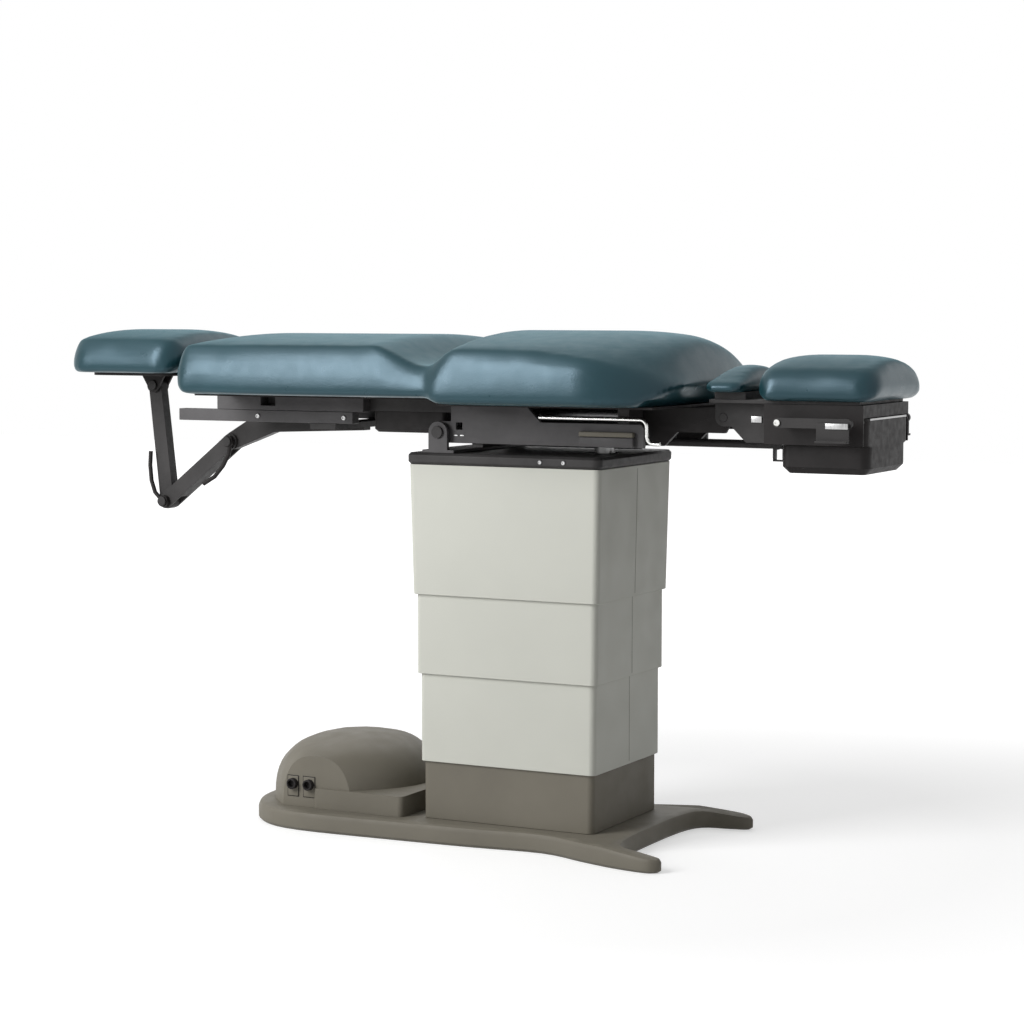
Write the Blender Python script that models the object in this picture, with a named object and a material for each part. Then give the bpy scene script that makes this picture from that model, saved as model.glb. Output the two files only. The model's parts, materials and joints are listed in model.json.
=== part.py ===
"""Powered procedure chair: a padded top in three sections on a telescoping lift column.

Metres, +X towards the foot end, +Y towards the far side, +Z up. The origin is on the floor, on the
column's axis. The rest pose is the column raised, the top flat and the headrest a little drawn out.
"""
import math

import bmesh
import bpy
from mathutils import Vector

# Fits
SEAT_GAP = 0.0003  # between pieces that rest on each other
RUN_GAP = 0.0004  # radial, round pins, rods and ram stages
SIDE_GAP = 0.001  # between cheeks that turn beside each other

# Base plate
PLATE_T = 0.040
PLATE_HEAD_X = -0.620
PLATE_HEAD_Y = 0.208
PLATE_WAIST_Y = 0.180
PLATE_TOE_X = 0.365
PLATE_TOE_Y = 0.246
PLATE_TOE_WIDTH = 0.044
PLATE_CUT_X = 0.250
PLATE_TOE_DROP = 0.013
PLATE_FOOT_ROUND = 0.006
PLATE_TOP_ROUND = 0.012

# Pump cover: a loaf that narrows and drops towards its two flat ends, with a low step beside it
COVER_X = -0.425
COVER_HALF_X = 0.172
COVER_END_HALF_X = 0.080
COVER_HALF_Y = 0.165
COVER_H = 0.136
COVER_END_H = 0.106
COVER_ROUNDNESS = 2.5
COVER_WALL = 0.004
STEP_HEAD_X = -0.433
STEP_FOOT_X = -0.223
STEP_HALF_Y = 0.170
STEP_H = 0.041
STEP_CORNER = 0.012
SOCKET_R = 0.011
SOCKET_DEPTH = 0.010
SOCKET_PITCH = 0.038
SOCKET_X = -0.479
SOCKET_Z = 0.087

# Hydraulic power pack under the cover
MOTOR_R = 0.038
MOTOR_LENGTH = 0.150
MOTOR_X = -0.395
MOTOR_FOOT_H = 0.012
TANK_LENGTH = 0.070
TANK_WIDTH = 0.200
TANK_H = 0.060
TANK_X = -0.275

# Column covers, each inside the one above it
COLUMN_TOP = 0.745
UPPER_HALF_X = 0.203
UPPER_HALF_Y = 0.164
SHROUD_CORNER = 0.013
UPPER_FLARE = 0.005
UPPER_BOTTOM = 0.488
MIDDLE_BOTTOM = 0.330
LOWER_BOTTOM = 0.155
MIDDLE_STEP = 0.0055
LOWER_STEP = 0.0055
BASE_STEP = 0.005
COVER_SHEET = 0.003
CATCH_LIP_H = 0.006

# Telescopic lift ram
RAM_OUTER_R = 0.080
RAM_MIDDLE_R = 0.066
RAM_INNER_R = 0.052
RAM_WALL = 0.006
RAM_COLLAR_H = 0.020
RAM_OUTER_TOP = 0.310
RAM_MIDDLE_BOTTOM = 0.255
RAM_MIDDLE_TOP = 0.520
RAM_INNER_BOTTOM = 0.475

# Top plate and tilt
TOP_HALF_X = 0.2115
TOP_HALF_Y = 0.1725
TOP_T = 0.023
TOP_Z = COLUMN_TOP + TOP_T
TOP_CORNER = 0.017
TOP_EDGE = 0.005
TILT_X = -0.141
TILT_Z = TOP_Z + 0.041
TILT_PIN_R = 0.008
TILT_EAR_R = 0.021
TILT_EAR_T = 0.008
TILT_EAR_Y = 0.160
TILT_FOOT_T = 0.006
TILT_FOOT_HALF_X = 0.035
TRUNNION_X = 0.140
TRUNNION_R = 0.006
TILT_BARREL_R = 0.020
TILT_BARREL_UP = 0.033
TILT_BARREL_DOWN = 0.157
TILT_ROD_R = 0.008
TILT_ROD_PIN_Z = TOP_Z + 0.077
TILT_SLOT_X = 0.008
TRUNNION_REACH = 0.010
CLEVIS_T = 0.006
CLEVIS_EYE_R = 0.0115

# Pads: the undersides, the thickness at the sides, the crown above it and the crease of seat and back
SEAT_PAD_BOTTOM = TOP_Z + 0.100
SEAT_PAD_T = 0.099
SEAT_CROWN = 0.038
BACK_PAD_BOTTOM = SEAT_PAD_BOTTOM + 0.011
BACK_PAD_T = 0.085
BACK_CROWN = 0.032
PAD_EDGE = 0.045
CREASE_X = -0.107
CREASE_GAP = 0.008
CREASE_LIP = 0.002
BACK_DIP_REACH = 0.098
SEAT_DIP_REACH = 0.064
CROWN_REACH = 0.120
BACK_HEAD_X = -0.688
BACK_HALF_Y = 0.305
BACK_CORNER = 0.070
SEAT_FRONT_X = 0.392
SEAT_HALF_Y = 0.315
SEAT_CORNER = 0.165
SEAT_NOSE = 0.050
SEAT_FALL_X = 0.160
SEAT_FALL = 0.038
SEAT_RISE_X = 0.330
SEAT_RISE = 0.028
SEAT_STEP_X = -0.045
SEAT_STEP_RUN = 0.020
PAD_NOSE = 0.034
CREASE_NOSE = 0.006

# Seat frame
SEAT_PAN_T = 0.004
SEAT_PAN_FRONT_X = 0.350
SEAT_PAN_HALF_Y = 0.240
SIDE_PLATE_Y = 0.146
SIDE_PLATE_T = 0.008
SIDE_PLATE_HEAD_X = -0.119
SIDE_PLATE_STEP_X = 0.045
SIDE_PLATE_STEP_Z = TOP_Z + 0.064
SIDE_PLATE_FOOT_X = 0.294
SIDE_PLATE_BOTTOM = TOP_Z + 0.019
SIDE_PLATE_CHAMFER = 0.006
SIDE_HOLE = 0.014
SIDE_HOLE_X = -0.101
SIDE_HOLE_Z = TOP_Z + 0.053
REAR_TIE_X = -0.065
REAR_TIE_Z = TOP_Z + 0.0235
FRONT_TIE_X = 0.248
TIE_WIDTH = 0.024
LINE_R = 0.004
LINE_Z = TOP_Z + 0.073
LINE_BEND_R = 0.014
LINE_DROP_Z = TOP_Z + 0.028
LINE_END_X = 0.326

# Back hinge: knuckles on one pin in the crease
HINGE_Z = BACK_PAD_BOTTOM + 0.047
HINGE_PIN_R = 0.004
KNUCKLE_R = 0.0068
KNUCKLE_COUNT = 5
HINGE_HALF_Y = 0.200
HINGE_LEAF_T = 0.003

# Back section
BACK_PAN_T = 0.004
BACK_PAN_HEAD_X = -0.655
BACK_PAN_HALF_Y = 0.250
BACK_FRAME_T = 0.030
BACK_FRAME_FOOT_X = CREASE_X - 0.027
BACK_RAIL_Y = 0.070
BACK_RAIL_WIDTH = 0.030
BACK_CROSS_WIDTH = 0.025
BACK_CROSS_COUNT = 4
BACK_BOX_HEAD_X = -0.330
BACK_BOX_FOOT_X = -0.165
BACK_BOX_HALF_Y = 0.095
BACK_BOX_H = 0.042

# Cylinders that move the back and the foot section, with a slotted yoke on each rod
CYLINDER_Y = 0.050
BARREL_R = 0.0165
ROD_R = 0.008
YOKE_PIN_R = 0.005
YOKE_HALF_Y = 0.006
YOKE_RIM = 0.004
CHEEK_T = 0.006
BACK_CRANK_DEG = 40.0
BACK_YOKE_PLAY = 0.0026
BACK_BARREL_MOUTH_X = 0.030
FOOT_CRANK_R = 0.080
FOOT_CRANK_DEG = 45.0
FOOT_YOKE_PLAY = 0.0028
FOOT_BARREL_MOUTH_X = 0.200

# Headrest
GUIDE_HEAD_X = -0.685
GUIDE_FOOT_X = -0.335
GUIDE_H = 0.032
GUIDE_WIDTH = 0.025
GUIDE_NOTCH_X = -0.561
GUIDE_NOTCH_WIDTH = 0.035
RAIL_HEAD_X = -0.780
RAIL_FOOT_X = -0.360
RAIL_H = 0.024
ARM_FOOT_X = -0.400
ARM_T = 0.012
ARM_TIE_WIDTH = 0.060
KNUCKLE_X = -0.726
KNUCKLE_Z = TOP_Z + 0.002
ELBOW_X = -0.893
ELBOW_Z = TOP_Z - 0.130
POST_TOP_X = -0.921
POST_TOP_Z = TOP_Z + 0.117
ARM_EYE_R = 0.018
LINK_HALF_W = 0.016
LINK_CHEEK_T = 0.006
LINK_SLOT = 0.036
POST_HALF_W = 0.017
POST_TOP_HALF_W = 0.016
JOINT_HALF_Y = 0.012
JOINT_PIN_R = 0.006
JOINT_HEAD_R = 0.010
JOINT_HEAD_T = 0.0045
LEVER_T = 0.010
LEVER_HUB_R = 0.0125
LEVER_R = 0.0045
REST_HEAD_X = -1.050
REST_FOOT_X = -0.757
REST_HALF_Y = 0.180
REST_BOTTOM = TOP_Z + 0.147
REST_PAD_T = 0.070
REST_CROWN = 0.018
REST_CORNER = 0.052
BOARD_T = 0.006
BOARD_HEAD_X = -1.000
BOARD_FOOT_X = -0.790
BOARD_HALF_Y = 0.140

# Foot section
FOOT_HINGE_X = 0.430
FOOT_HINGE_Z = TOP_Z + 0.078
FOOT_SHAFT_R = 0.008
FOOT_HUB_R = 0.0165
FOOT_BRACKET_Y = 0.075
FOOT_BRACKET_T = 0.010
FOOT_BRACKET_H = 0.031
FOOT_CHEEK_BOTTOM = TOP_Z + 0.021
FOOT_CHEEK_STEP_X = 0.305
FOOT_CHEEK_STEP_Z = TOP_Z + 0.048
FOOT_ARM_BOTTOM = TOP_Z + 0.032
FOOT_ARM_T = 0.008
FOOT_PLATE_T = 0.006
FOOT_PLATE_HEAD_X = 0.412
FOOT_PLATE_FOOT_X = 0.708
FOOT_PLATE_HALF_Y = 0.120
FOOT_PAD_BOTTOM = TOP_Z + 0.113
CALF_PAD_BOTTOM = TOP_Z + 0.127
CALF_HEAD_X = 0.402
CALF_FOOT_X = 0.490
CALF_PAD_T = 0.031
CALF_CROWN = 0.022
FOOT_HEAD_X = 0.497
FOOT_END_X = 0.755
FOOT_PAD_T = 0.055
FOOT_CROWN = 0.032
FOOT_HALF_Y = 0.150
FOOT_CORNER = 0.040
CALF_CORNER = 0.024
CALF_BOARD_INSET = 0.008

# Pan housing, treatment pan and stirrups
HOUSING_HEAD_X = 0.524
HOUSING_END_X = 0.717
HOUSING_HALF_Y = 0.125
HOUSING_SKIRT_Z = TOP_Z + 0.032
HOUSING_WALL = 0.003
RUNNER_WIDTH = 0.0035
RUNNER_T = 0.004
PAN_RIM_Z = TOP_Z + 0.082
PAN_RIM_T = 0.004
PAN_STEP_Z = TOP_Z + 0.029
PAN_BOTTOM = TOP_Z - 0.022
PAN_UPPER_HALF_Y = 0.117
PAN_LOWER_HALF_Y = 0.104
PAN_WALL = 0.003
PAN_CORNER = 0.018
PAN_CHAMFER = 0.012
PAN_FRONT_X = 0.7205
PAN_BACK_GAP = 0.021
STIRRUP_X = 0.565
STIRRUP_Z = TOP_Z + 0.074
STIRRUP_LENGTH = 0.135
STIRRUP_HALF_H = 0.009
STIRRUP_T = 0.008
STIRRUP_STUD_R = 0.006
STIRRUP_CLEAR = 0.010
HEEL_LENGTH = 0.062
HEEL_DEPTH = 0.036
HEEL_T = 0.004
HEEL_LIP = 0.010

# Facets
ROUND_SIDES = 20
CORNER_STEPS = 4
EDGE_STEPS = 6
CROWN_STEPS = 8
COVER_STATIONS = 6
COVER_SIDES = 24

# Sizes that follow from the ones above
SEAT_PAN_Z = SEAT_PAD_BOTTOM - SEAT_GAP - SEAT_PAN_T
SIDE_PLATE_TOP = SEAT_PAN_Z - SEAT_GAP
BACK_PAN_Z = BACK_PAD_BOTTOM - SEAT_GAP - BACK_PAN_T
BACK_FRAME_TOP = BACK_PAN_Z - SEAT_GAP
BACK_FRAME_BOTTOM = BACK_FRAME_TOP - BACK_FRAME_T
GUIDE_Y = BACK_RAIL_Y + BACK_RAIL_WIDTH + SEAT_GAP
GUIDE_BOTTOM = BACK_FRAME_TOP - GUIDE_H
RAIL_TOP = GUIDE_BOTTOM - SEAT_GAP
RAIL_BOTTOM = RAIL_TOP - RAIL_H
ARM_TOP = RAIL_BOTTOM - SEAT_GAP
BACK_PIN_Z = SEAT_PAN_Z - YOKE_PIN_R - YOKE_RIM - 1.5 * SIDE_GAP
BACK_CRANK_R = (HINGE_Z - BACK_PIN_Z) / math.cos(math.radians(BACK_CRANK_DEG))
FORK_IN = JOINT_HALF_Y + SEAT_GAP
FORK_OUT = FORK_IN + LINK_CHEEK_T
FOOT_PLATE_Z = FOOT_PAD_BOTTOM - SEAT_GAP - FOOT_PLATE_T
HOUSING_TOP = FOOT_PLATE_Z - SEAT_GAP
TRUNNION_Z = COLUMN_TOP + TOP_T / 2

# Body name: its parent body and the point on its joint's axis
BODIES = {
    "base": (None, (0, 0, 0)),
    "lower_stage": ("base", (0, 0, LOWER_BOTTOM)),
    "middle_stage": ("base", (0, 0, MIDDLE_BOTTOM)),
    "ram_stage": ("base", (0, 0, RAM_MIDDLE_BOTTOM)),
    "carriage": ("base", (0, 0, COLUMN_TOP)),
    "tilt_barrel": ("carriage", (TRUNNION_X, 0, TRUNNION_Z)),
    "tilt_rod": ("tilt_barrel", (TRUNNION_X, 0, TILT_ROD_PIN_Z)),
    "seat": ("carriage", (TILT_X, 0, TILT_Z)),
    "back": ("seat", (CREASE_X, 0, HINGE_Z)),
    "back_rod": ("seat", (CREASE_X, -CYLINDER_Y, HINGE_Z)),
    "foot": ("seat", (FOOT_HINGE_X, 0, FOOT_HINGE_Z)),
    "foot_rod": ("seat", (FOOT_HINGE_X, CYLINDER_Y, FOOT_HINGE_Z)),
    "headrest_slide": ("back", (RAIL_HEAD_X, 0, RAIL_TOP)),
    "headrest_link": ("headrest_slide", (KNUCKLE_X, 0, KNUCKLE_Z)),
    "knuckle_lever": ("headrest_link", (KNUCKLE_X, 0, KNUCKLE_Z)),
    "headrest_post": ("headrest_link", (ELBOW_X, 0, ELBOW_Z)),
    "elbow_lever": ("headrest_post", (ELBOW_X, 0, ELBOW_Z)),
    "headrest": ("headrest_post", (POST_TOP_X, 0, POST_TOP_Z)),
    "pan": ("foot", (PAN_FRONT_X, 0, PAN_RIM_Z)),
}

# Material name: base colour, roughness, metallic
MATERIALS = {
    "base_paint": ((0.165, 0.150, 0.118), 0.55, 0.0),
    "cover_plastic": ((0.610, 0.615, 0.555), 0.45, 0.0),
    "frame_paint": ((0.060, 0.055, 0.055), 0.45, 0.0),
    "black_plastic": ((0.016, 0.013, 0.012), 0.40, 0.0),
    "grey_paint": ((0.150, 0.140, 0.140), 0.45, 0.0),
    "vinyl": ((0.030, 0.125, 0.150), 0.35, 0.0),
    "bright_steel": ((0.720, 0.720, 0.700), 0.20, 1.0),
    "ram_steel": ((0.420, 0.420, 0.420), 0.30, 1.0),
}


# Mesh helpers

def on_axis(axis, a, b, along):
    """The 3-D point of an outline point (a, b) at a distance along an axis."""
    if axis == "x":
        return (along, a, b)
    if axis == "y":
        return (a, along, b)
    return (a, b, along)


def loft(rings, join_ends=False):
    """Skin rings of equal count, with caps on the two ends or the last ring joined to the first."""
    count = len(rings[0])
    points = [point for ring in rings for point in ring]
    faces = []
    for i in range(len(rings) - (0 if join_ends else 1)):
        low = i * count
        high = (i + 1) % len(rings) * count
        for k in range(count):
            after = (k + 1) % count
            faces.append((low + k, low + after, high + after, high + k))
    if not join_ends:
        faces.append(tuple(range(count)))
        faces.append(tuple(range(len(points) - count, len(points))))
    return points, faces


def prism(outline, axis, low, high):
    """An outline pushed along an axis."""
    return loft([[on_axis(axis, a, b, along) for a, b in outline] for along in (low, high)])


def box(low, high):
    """A plain block between two corners."""
    outline = [(low[0], low[1]), (high[0], low[1]), (high[0], high[1]), (low[0], high[1])]
    return prism(outline, "z", low[2], high[2])


def arc(centre, radius, start, end, steps):
    """Points on an arc, angles in degrees."""
    points = []
    for i in range(steps + 1):
        angle = math.radians(start + (end - start) * i / steps)
        points.append((centre[0] + radius * math.cos(angle), centre[1] + radius * math.sin(angle)))
    return points


def circle(centre, radius):
    """A closed round outline."""
    return arc(centre, radius, 0, 360, ROUND_SIDES)[:-1]


def rounded(half_a, half_b, corner, centre=(0, 0)):
    """A rectangle with round corners."""
    points = []
    for turn, (sign_a, sign_b) in enumerate(((1, 1), (-1, 1), (-1, -1), (1, -1))):
        middle = (centre[0] + sign_a * (half_a - corner), centre[1] + sign_b * (half_b - corner))
        points += arc(middle, corner, 90 * turn, 90 * turn + 90, CORNER_STEPS)
    return points


def capsule(start, end, start_r, end_r):
    """The outline of a bar with a round eye at each end."""
    lean = math.degrees(math.atan2(end[1] - start[1], end[0] - start[0]))
    half_turn = ROUND_SIDES // 2
    return (arc(end, end_r, lean - 90, lean + 90, half_turn)
            + arc(start, start_r, lean + 90, lean + 270, half_turn))


def turned(axis, centre, stations, join_ends=False):
    """A turned piece: (distance along the axis, radius) at each station."""
    rings = [[on_axis(axis, a, b, along) for a, b in circle(centre, radius)] for along, radius in stations]
    return loft(rings, join_ends)


def rod(axis, centre, low, high, radius):
    """A plain round bar."""
    return turned(axis, centre, [(low, radius), (high, radius)])


def smooth_loop(points, per_span):
    """A closed curve through the points, sampled evenly in each span."""
    loop = []
    count = len(points)
    for i in range(count):
        p0, p1, p2, p3 = (Vector(points[(i + k - 1) % count]) for k in range(4))
        for step in range(per_span):
            t = step / per_span
            loop.append(tuple(0.5 * (2 * p1 + (p2 - p0) * t + (2 * p0 - 5 * p1 + 4 * p2 - p3) * t ** 2
                                     + (3 * p1 - p0 - 3 * p2 + p3) * t ** 3)))
    return loop


def inset_loop(loop, distance):
    """A counter-clockwise loop moved inwards."""
    moved = []
    for i, point in enumerate(loop):
        along = Vector(loop[(i + 1) % len(loop)]) - Vector(loop[i - 1])
        inwards = Vector((-along.y, along.x)).normalized()
        moved.append(tuple(Vector(point) + inwards * distance))
    return moved


def sweep(path, radius, sides=12):
    """A round bar along points in the plane y = constant."""
    rings = []
    for i, point in enumerate(path):
        before = Vector(path[max(i - 1, 0)])
        after = Vector(path[min(i + 1, len(path) - 1)])
        along = (after - before).normalized()
        across = Vector((0, 1, 0))
        up = along.cross(across)
        ring = []
        for k in range(sides):
            angle = 2 * math.pi * k / sides
            ring.append(tuple(Vector(point) + radius * (math.cos(angle) * across + math.sin(angle) * up)))
        rings.append(ring)
    return loft(rings)


def solid(shape):
    """A loose object from points and faces, with its faces pointing out."""
    points, faces = shape
    mesh = bpy.data.meshes.new("piece")
    mesh.from_pydata(points, [], faces)
    work = bmesh.new()
    work.from_mesh(mesh)
    bmesh.ops.recalc_face_normals(work, faces=work.faces)
    work.to_mesh(mesh)
    work.free()
    piece = bpy.data.objects.new("piece", mesh)
    bpy.context.scene.collection.objects.link(piece)
    return piece


def combine(piece, shapes, operation):
    """Add shapes to a piece, or cut them out of it."""
    for shape in shapes:
        tool = solid(shape)
        modifier = piece.modifiers.new("Combine", "BOOLEAN")
        modifier.operation = operation
        modifier.solver = "EXACT"
        modifier.object = tool
        bpy.context.view_layer.update()
        graph = bpy.context.evaluated_depsgraph_get()
        mesh = bpy.data.meshes.new_from_object(piece.evaluated_get(graph))
        piece.modifiers.clear()
        piece.data = mesh
        bpy.data.objects.remove(tool)
    return piece


def cut(piece, *shapes):
    """The piece with the shapes taken out."""
    return combine(piece, shapes, "DIFFERENCE")


def fuse(piece, *shapes):
    """The piece with the shapes joined on."""
    return combine(piece, shapes, "UNION")


# Bodies, materials and nodes

def make_bodies():
    """One empty for each body, on its joint's axis, under its parent's empty."""
    empties = {}
    for name, (parent, pivot) in BODIES.items():
        empty = bpy.data.objects.new(name + "_body", None)
        bpy.context.scene.collection.objects.link(empty)
        empty.location = pivot
        if parent:
            empty.parent = empties[parent]
            empty.location = Vector(pivot) - Vector(BODIES[parent][1])
        empties[name] = empty
    return empties


def make_materials():
    """A Principled material for each finish."""
    made = {}
    for name, (colour, roughness, metallic) in MATERIALS.items():
        material = bpy.data.materials.new(name)
        material.use_nodes = True
        shader = material.node_tree.nodes["Principled BSDF"]
        shader.inputs["Base Color"].default_value = (*colour, 1)
        shader.inputs["Roughness"].default_value = roughness
        shader.inputs["Metallic"].default_value = metallic
        made[name] = material
    return made


def add(name, body, piece, material):
    """Name a piece, put its origin on its body's pivot and give it its finish."""
    pivot = Vector(BODIES[body][1])
    for vertex in piece.data.vertices:
        vertex.co -= pivot
    piece.name = name
    piece.data.name = name
    piece.parent = empties[body]
    piece.data.materials.clear()
    piece.data.materials.append(materials[material])
    piece.data.shade_smooth()
    piece.data.set_sharp_from_angle(angle=math.radians(35))
    return piece


# Base

def base_plate():
    """The floor plate: round at the head end, drawn in at the column, with two splayed toes."""
    half = [
        (PLATE_HEAD_X, 0),
        (PLATE_HEAD_X + 0.018, 0.100),
        (PLATE_HEAD_X + 0.070, 0.172),
        (PLATE_HEAD_X + 0.170, PLATE_HEAD_Y),
        (-0.240, PLATE_HEAD_Y - 0.004),
        (-0.060, (PLATE_HEAD_Y + PLATE_WAIST_Y) / 2),
        (0.090, PLATE_WAIST_Y),
        (0.190, (PLATE_WAIST_Y + PLATE_TOE_Y) / 2),
        (PLATE_TOE_X - 0.100, PLATE_TOE_Y - 0.010),
        (PLATE_TOE_X - 0.030, PLATE_TOE_Y),
        (PLATE_TOE_X - 0.006, PLATE_TOE_Y - 0.2 * PLATE_TOE_WIDTH),
        (PLATE_TOE_X, PLATE_TOE_Y - 0.5 * PLATE_TOE_WIDTH),
        (PLATE_TOE_X - 0.010, PLATE_TOE_Y - 0.8 * PLATE_TOE_WIDTH),
        (PLATE_TOE_X - 0.045, PLATE_TOE_Y - PLATE_TOE_WIDTH),
        (PLATE_CUT_X + 0.022, PLATE_TOE_Y - 1.3 * PLATE_TOE_WIDTH),
        (PLATE_CUT_X + 0.004, 0.130),
        (PLATE_CUT_X, 0),
    ]
    outline = [(x, -y) for x, y in half] + half[-2:0:-1]
    loop = smooth_loop(outline, 4)
    levels = (
        (0, PLATE_FOOT_ROUND),
        (PLATE_FOOT_ROUND, 0),
        (PLATE_T - PLATE_TOP_ROUND, 0),
        (PLATE_T - 0.3 * PLATE_TOP_ROUND, 0.3 * PLATE_TOP_ROUND),
        (PLATE_T, PLATE_TOP_ROUND),
    )

    def lowered(x, z):
        share = max(x - PLATE_CUT_X, 0) / (PLATE_TOE_X - PLATE_CUT_X)
        return z * (1 - share * PLATE_TOE_DROP / PLATE_T)

    rings = [[(x, y, lowered(x, z)) for x, y in inset_loop(loop, inset)] for z, inset in levels]
    add("base_plate", "base", solid(loft(rings)), "base_paint")


def loaf(inset, floor):
    """The cover's domed form, inset from its outside, standing on floor."""
    def bent(value):
        return math.copysign(abs(value) ** (2 / COVER_ROUNDNESS), value)

    top = PLATE_T + SEAT_GAP
    rings = []
    for station in range(2 * COVER_STATIONS + 1):
        share = math.sin(math.pi / 2 * (station / COVER_STATIONS - 1))
        narrowing = abs(share) ** 2.2
        half_x = COVER_HALF_X + (COVER_END_HALF_X - COVER_HALF_X) * narrowing - inset
        height = COVER_H + (COVER_END_H - COVER_H) * narrowing - inset + top - floor
        ring = []
        for i in range(COVER_SIDES + 1):
            angle = math.pi * i / COVER_SIDES
            x = COVER_X - half_x * bent(math.cos(angle))
            ring.append((x, share * (COVER_HALF_Y - inset), floor + height * abs(bent(math.sin(angle)))))
        rings.append(ring)
    return loft(rings)


def pump_cover():
    """The moulded cover over the pump, its two sockets and the power pack inside it."""
    floor = PLATE_T + SEAT_GAP
    below = floor - COVER_WALL
    middle = ((STEP_HEAD_X + STEP_FOOT_X) / 2, 0)
    half_x = (STEP_FOOT_X - STEP_HEAD_X) / 2
    step = prism(rounded(half_x, STEP_HALF_Y, STEP_CORNER, middle), "z", floor, floor + STEP_H)
    hollow = prism(
        rounded(half_x - COVER_WALL, STEP_HALF_Y - COVER_WALL, STEP_CORNER - COVER_WALL, middle),
        "z", below, floor + STEP_H - COVER_WALL)
    cover = cut(fuse(solid(loaf(0, floor)), step), loaf(COVER_WALL, below), hollow)
    add("pump_cover", "base", cover, "base_paint")

    face = -COVER_HALF_Y - SEAT_GAP
    for i, name in enumerate(("power_inlet", "control_socket")):
        centre = (SOCKET_X + i * SOCKET_PITCH, SOCKET_Z)
        well = 0.65 * SOCKET_R
        stations = [(face, SOCKET_R), (face - SOCKET_DEPTH, SOCKET_R), (face - SOCKET_DEPTH, well),
                    (face - 0.3 * SOCKET_DEPTH, well)]
        add(name, "base", solid(turned("y", centre, stations)), "black_plastic")

    axis_z = floor + MOTOR_FOOT_H + MOTOR_R
    head = MOTOR_X - MOTOR_LENGTH / 2
    foot = MOTOR_X + MOTOR_LENGTH / 2
    bell = 0.7 * MOTOR_R
    stations = [(head, bell), (head + 0.02, MOTOR_R), (foot - 0.02, MOTOR_R), (foot, bell)]
    shell = turned("x", (0, axis_z), stations)
    saddle = box((MOTOR_X - 0.035, -0.03, floor), (MOTOR_X + 0.035, 0.03, axis_z))
    add("pump_motor", "base", fuse(solid(shell), saddle), "frame_paint")

    tank = rounded(TANK_LENGTH / 2, TANK_WIDTH / 2, STEP_CORNER, (TANK_X, 0))
    tank_top = floor + min(TANK_H, STEP_H - COVER_WALL - SEAT_GAP)
    add("oil_reservoir", "base", solid(prism(tank, "z", floor, tank_top)), "grey_paint")


# Column

def cover_ring(inset, z, spread=0.0):
    """The covers' plan outline at a height, inset from the upper cover's outside."""
    outline = rounded(UPPER_HALF_X - inset + spread, UPPER_HALF_Y - inset + spread, SHROUD_CORNER)
    return [(x, y, z) for x, y in outline]


def column_cover(name, body, inset, bottom, top, lip_out, lip_in, material, flare=0.0):
    """An open four-sided cover. Its lips lie at the insets given, out at the top and in at the bottom."""
    inner = inset + COVER_SHEET
    rings = [cover_ring(inset, bottom)]
    if lip_out is None:
        rings += [cover_ring(inset, top, flare), cover_ring(inner, top, flare)]
    else:
        rings += [cover_ring(inset, top - CATCH_LIP_H), cover_ring(lip_out, top - CATCH_LIP_H),
                  cover_ring(lip_out, top), cover_ring(inner, top)]
    if lip_in is None:
        rings += [cover_ring(inner, bottom)]
    else:
        rings += [cover_ring(inner, bottom + CATCH_LIP_H), cover_ring(lip_in, bottom + CATCH_LIP_H),
                  cover_ring(lip_in, bottom)]
    add(name, body, solid(loft(rings, join_ends=True)), material)


def column_covers():
    """The four covers. Each hangs its top lip on the bottom lip of the cover outside it."""
    middle = MIDDLE_STEP
    lower = middle + LOWER_STEP
    base = lower + BASE_STEP
    hang = 2 * CATCH_LIP_H + SEAT_GAP
    catch = COVER_SHEET + SEAT_GAP
    column_cover("upper_shroud", "carriage", 0, UPPER_BOTTOM, COLUMN_TOP - SEAT_GAP,
                 None, middle - SEAT_GAP, "cover_plastic", UPPER_FLARE)
    column_cover("middle_shroud", "middle_stage", middle, MIDDLE_BOTTOM, UPPER_BOTTOM + hang,
                 catch, lower - SEAT_GAP, "cover_plastic")
    column_cover("lower_shroud", "lower_stage", lower, LOWER_BOTTOM, MIDDLE_BOTTOM + hang,
                 middle + catch, base - SEAT_GAP, "cover_plastic")
    column_cover("base_shroud", "base", base, PLATE_T + SEAT_GAP, LOWER_BOTTOM + hang,
                 lower + catch, None, "base_paint")


def ram_tube(name, body, radius, bottom, top, foot_r, neck_r):
    """One stage of the ram: a piston collar at its foot and a gland at its neck."""
    bore = radius - RAM_WALL
    stations = [(bottom, foot_r), (bottom + RAM_COLLAR_H, foot_r), (bottom + RAM_COLLAR_H, radius),
                (top, radius), (top, neck_r), (top - RAM_COLLAR_H, neck_r), (top - RAM_COLLAR_H, bore),
                (bottom, bore)]
    add(name, body, solid(turned("z", (0, 0), stations, join_ends=True)), "ram_steel")


def lift_ram():
    """The three stages of the lift ram."""
    ram_tube("lift_cylinder", "base", RAM_OUTER_R, PLATE_T + SEAT_GAP, RAM_OUTER_TOP,
             RAM_OUTER_R + 0.02, RAM_MIDDLE_R + RUN_GAP)
    ram_tube("lift_stage", "ram_stage", RAM_MIDDLE_R, RAM_MIDDLE_BOTTOM, RAM_MIDDLE_TOP,
             RAM_OUTER_R - RAM_WALL - RUN_GAP, RAM_INNER_R + RUN_GAP)
    ram_tube("lift_plunger", "carriage", RAM_INNER_R, RAM_INNER_BOTTOM, COLUMN_TOP - SEAT_GAP,
             RAM_MIDDLE_R - RAM_WALL - RUN_GAP, RAM_INNER_R - 2 * RAM_WALL)


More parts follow.
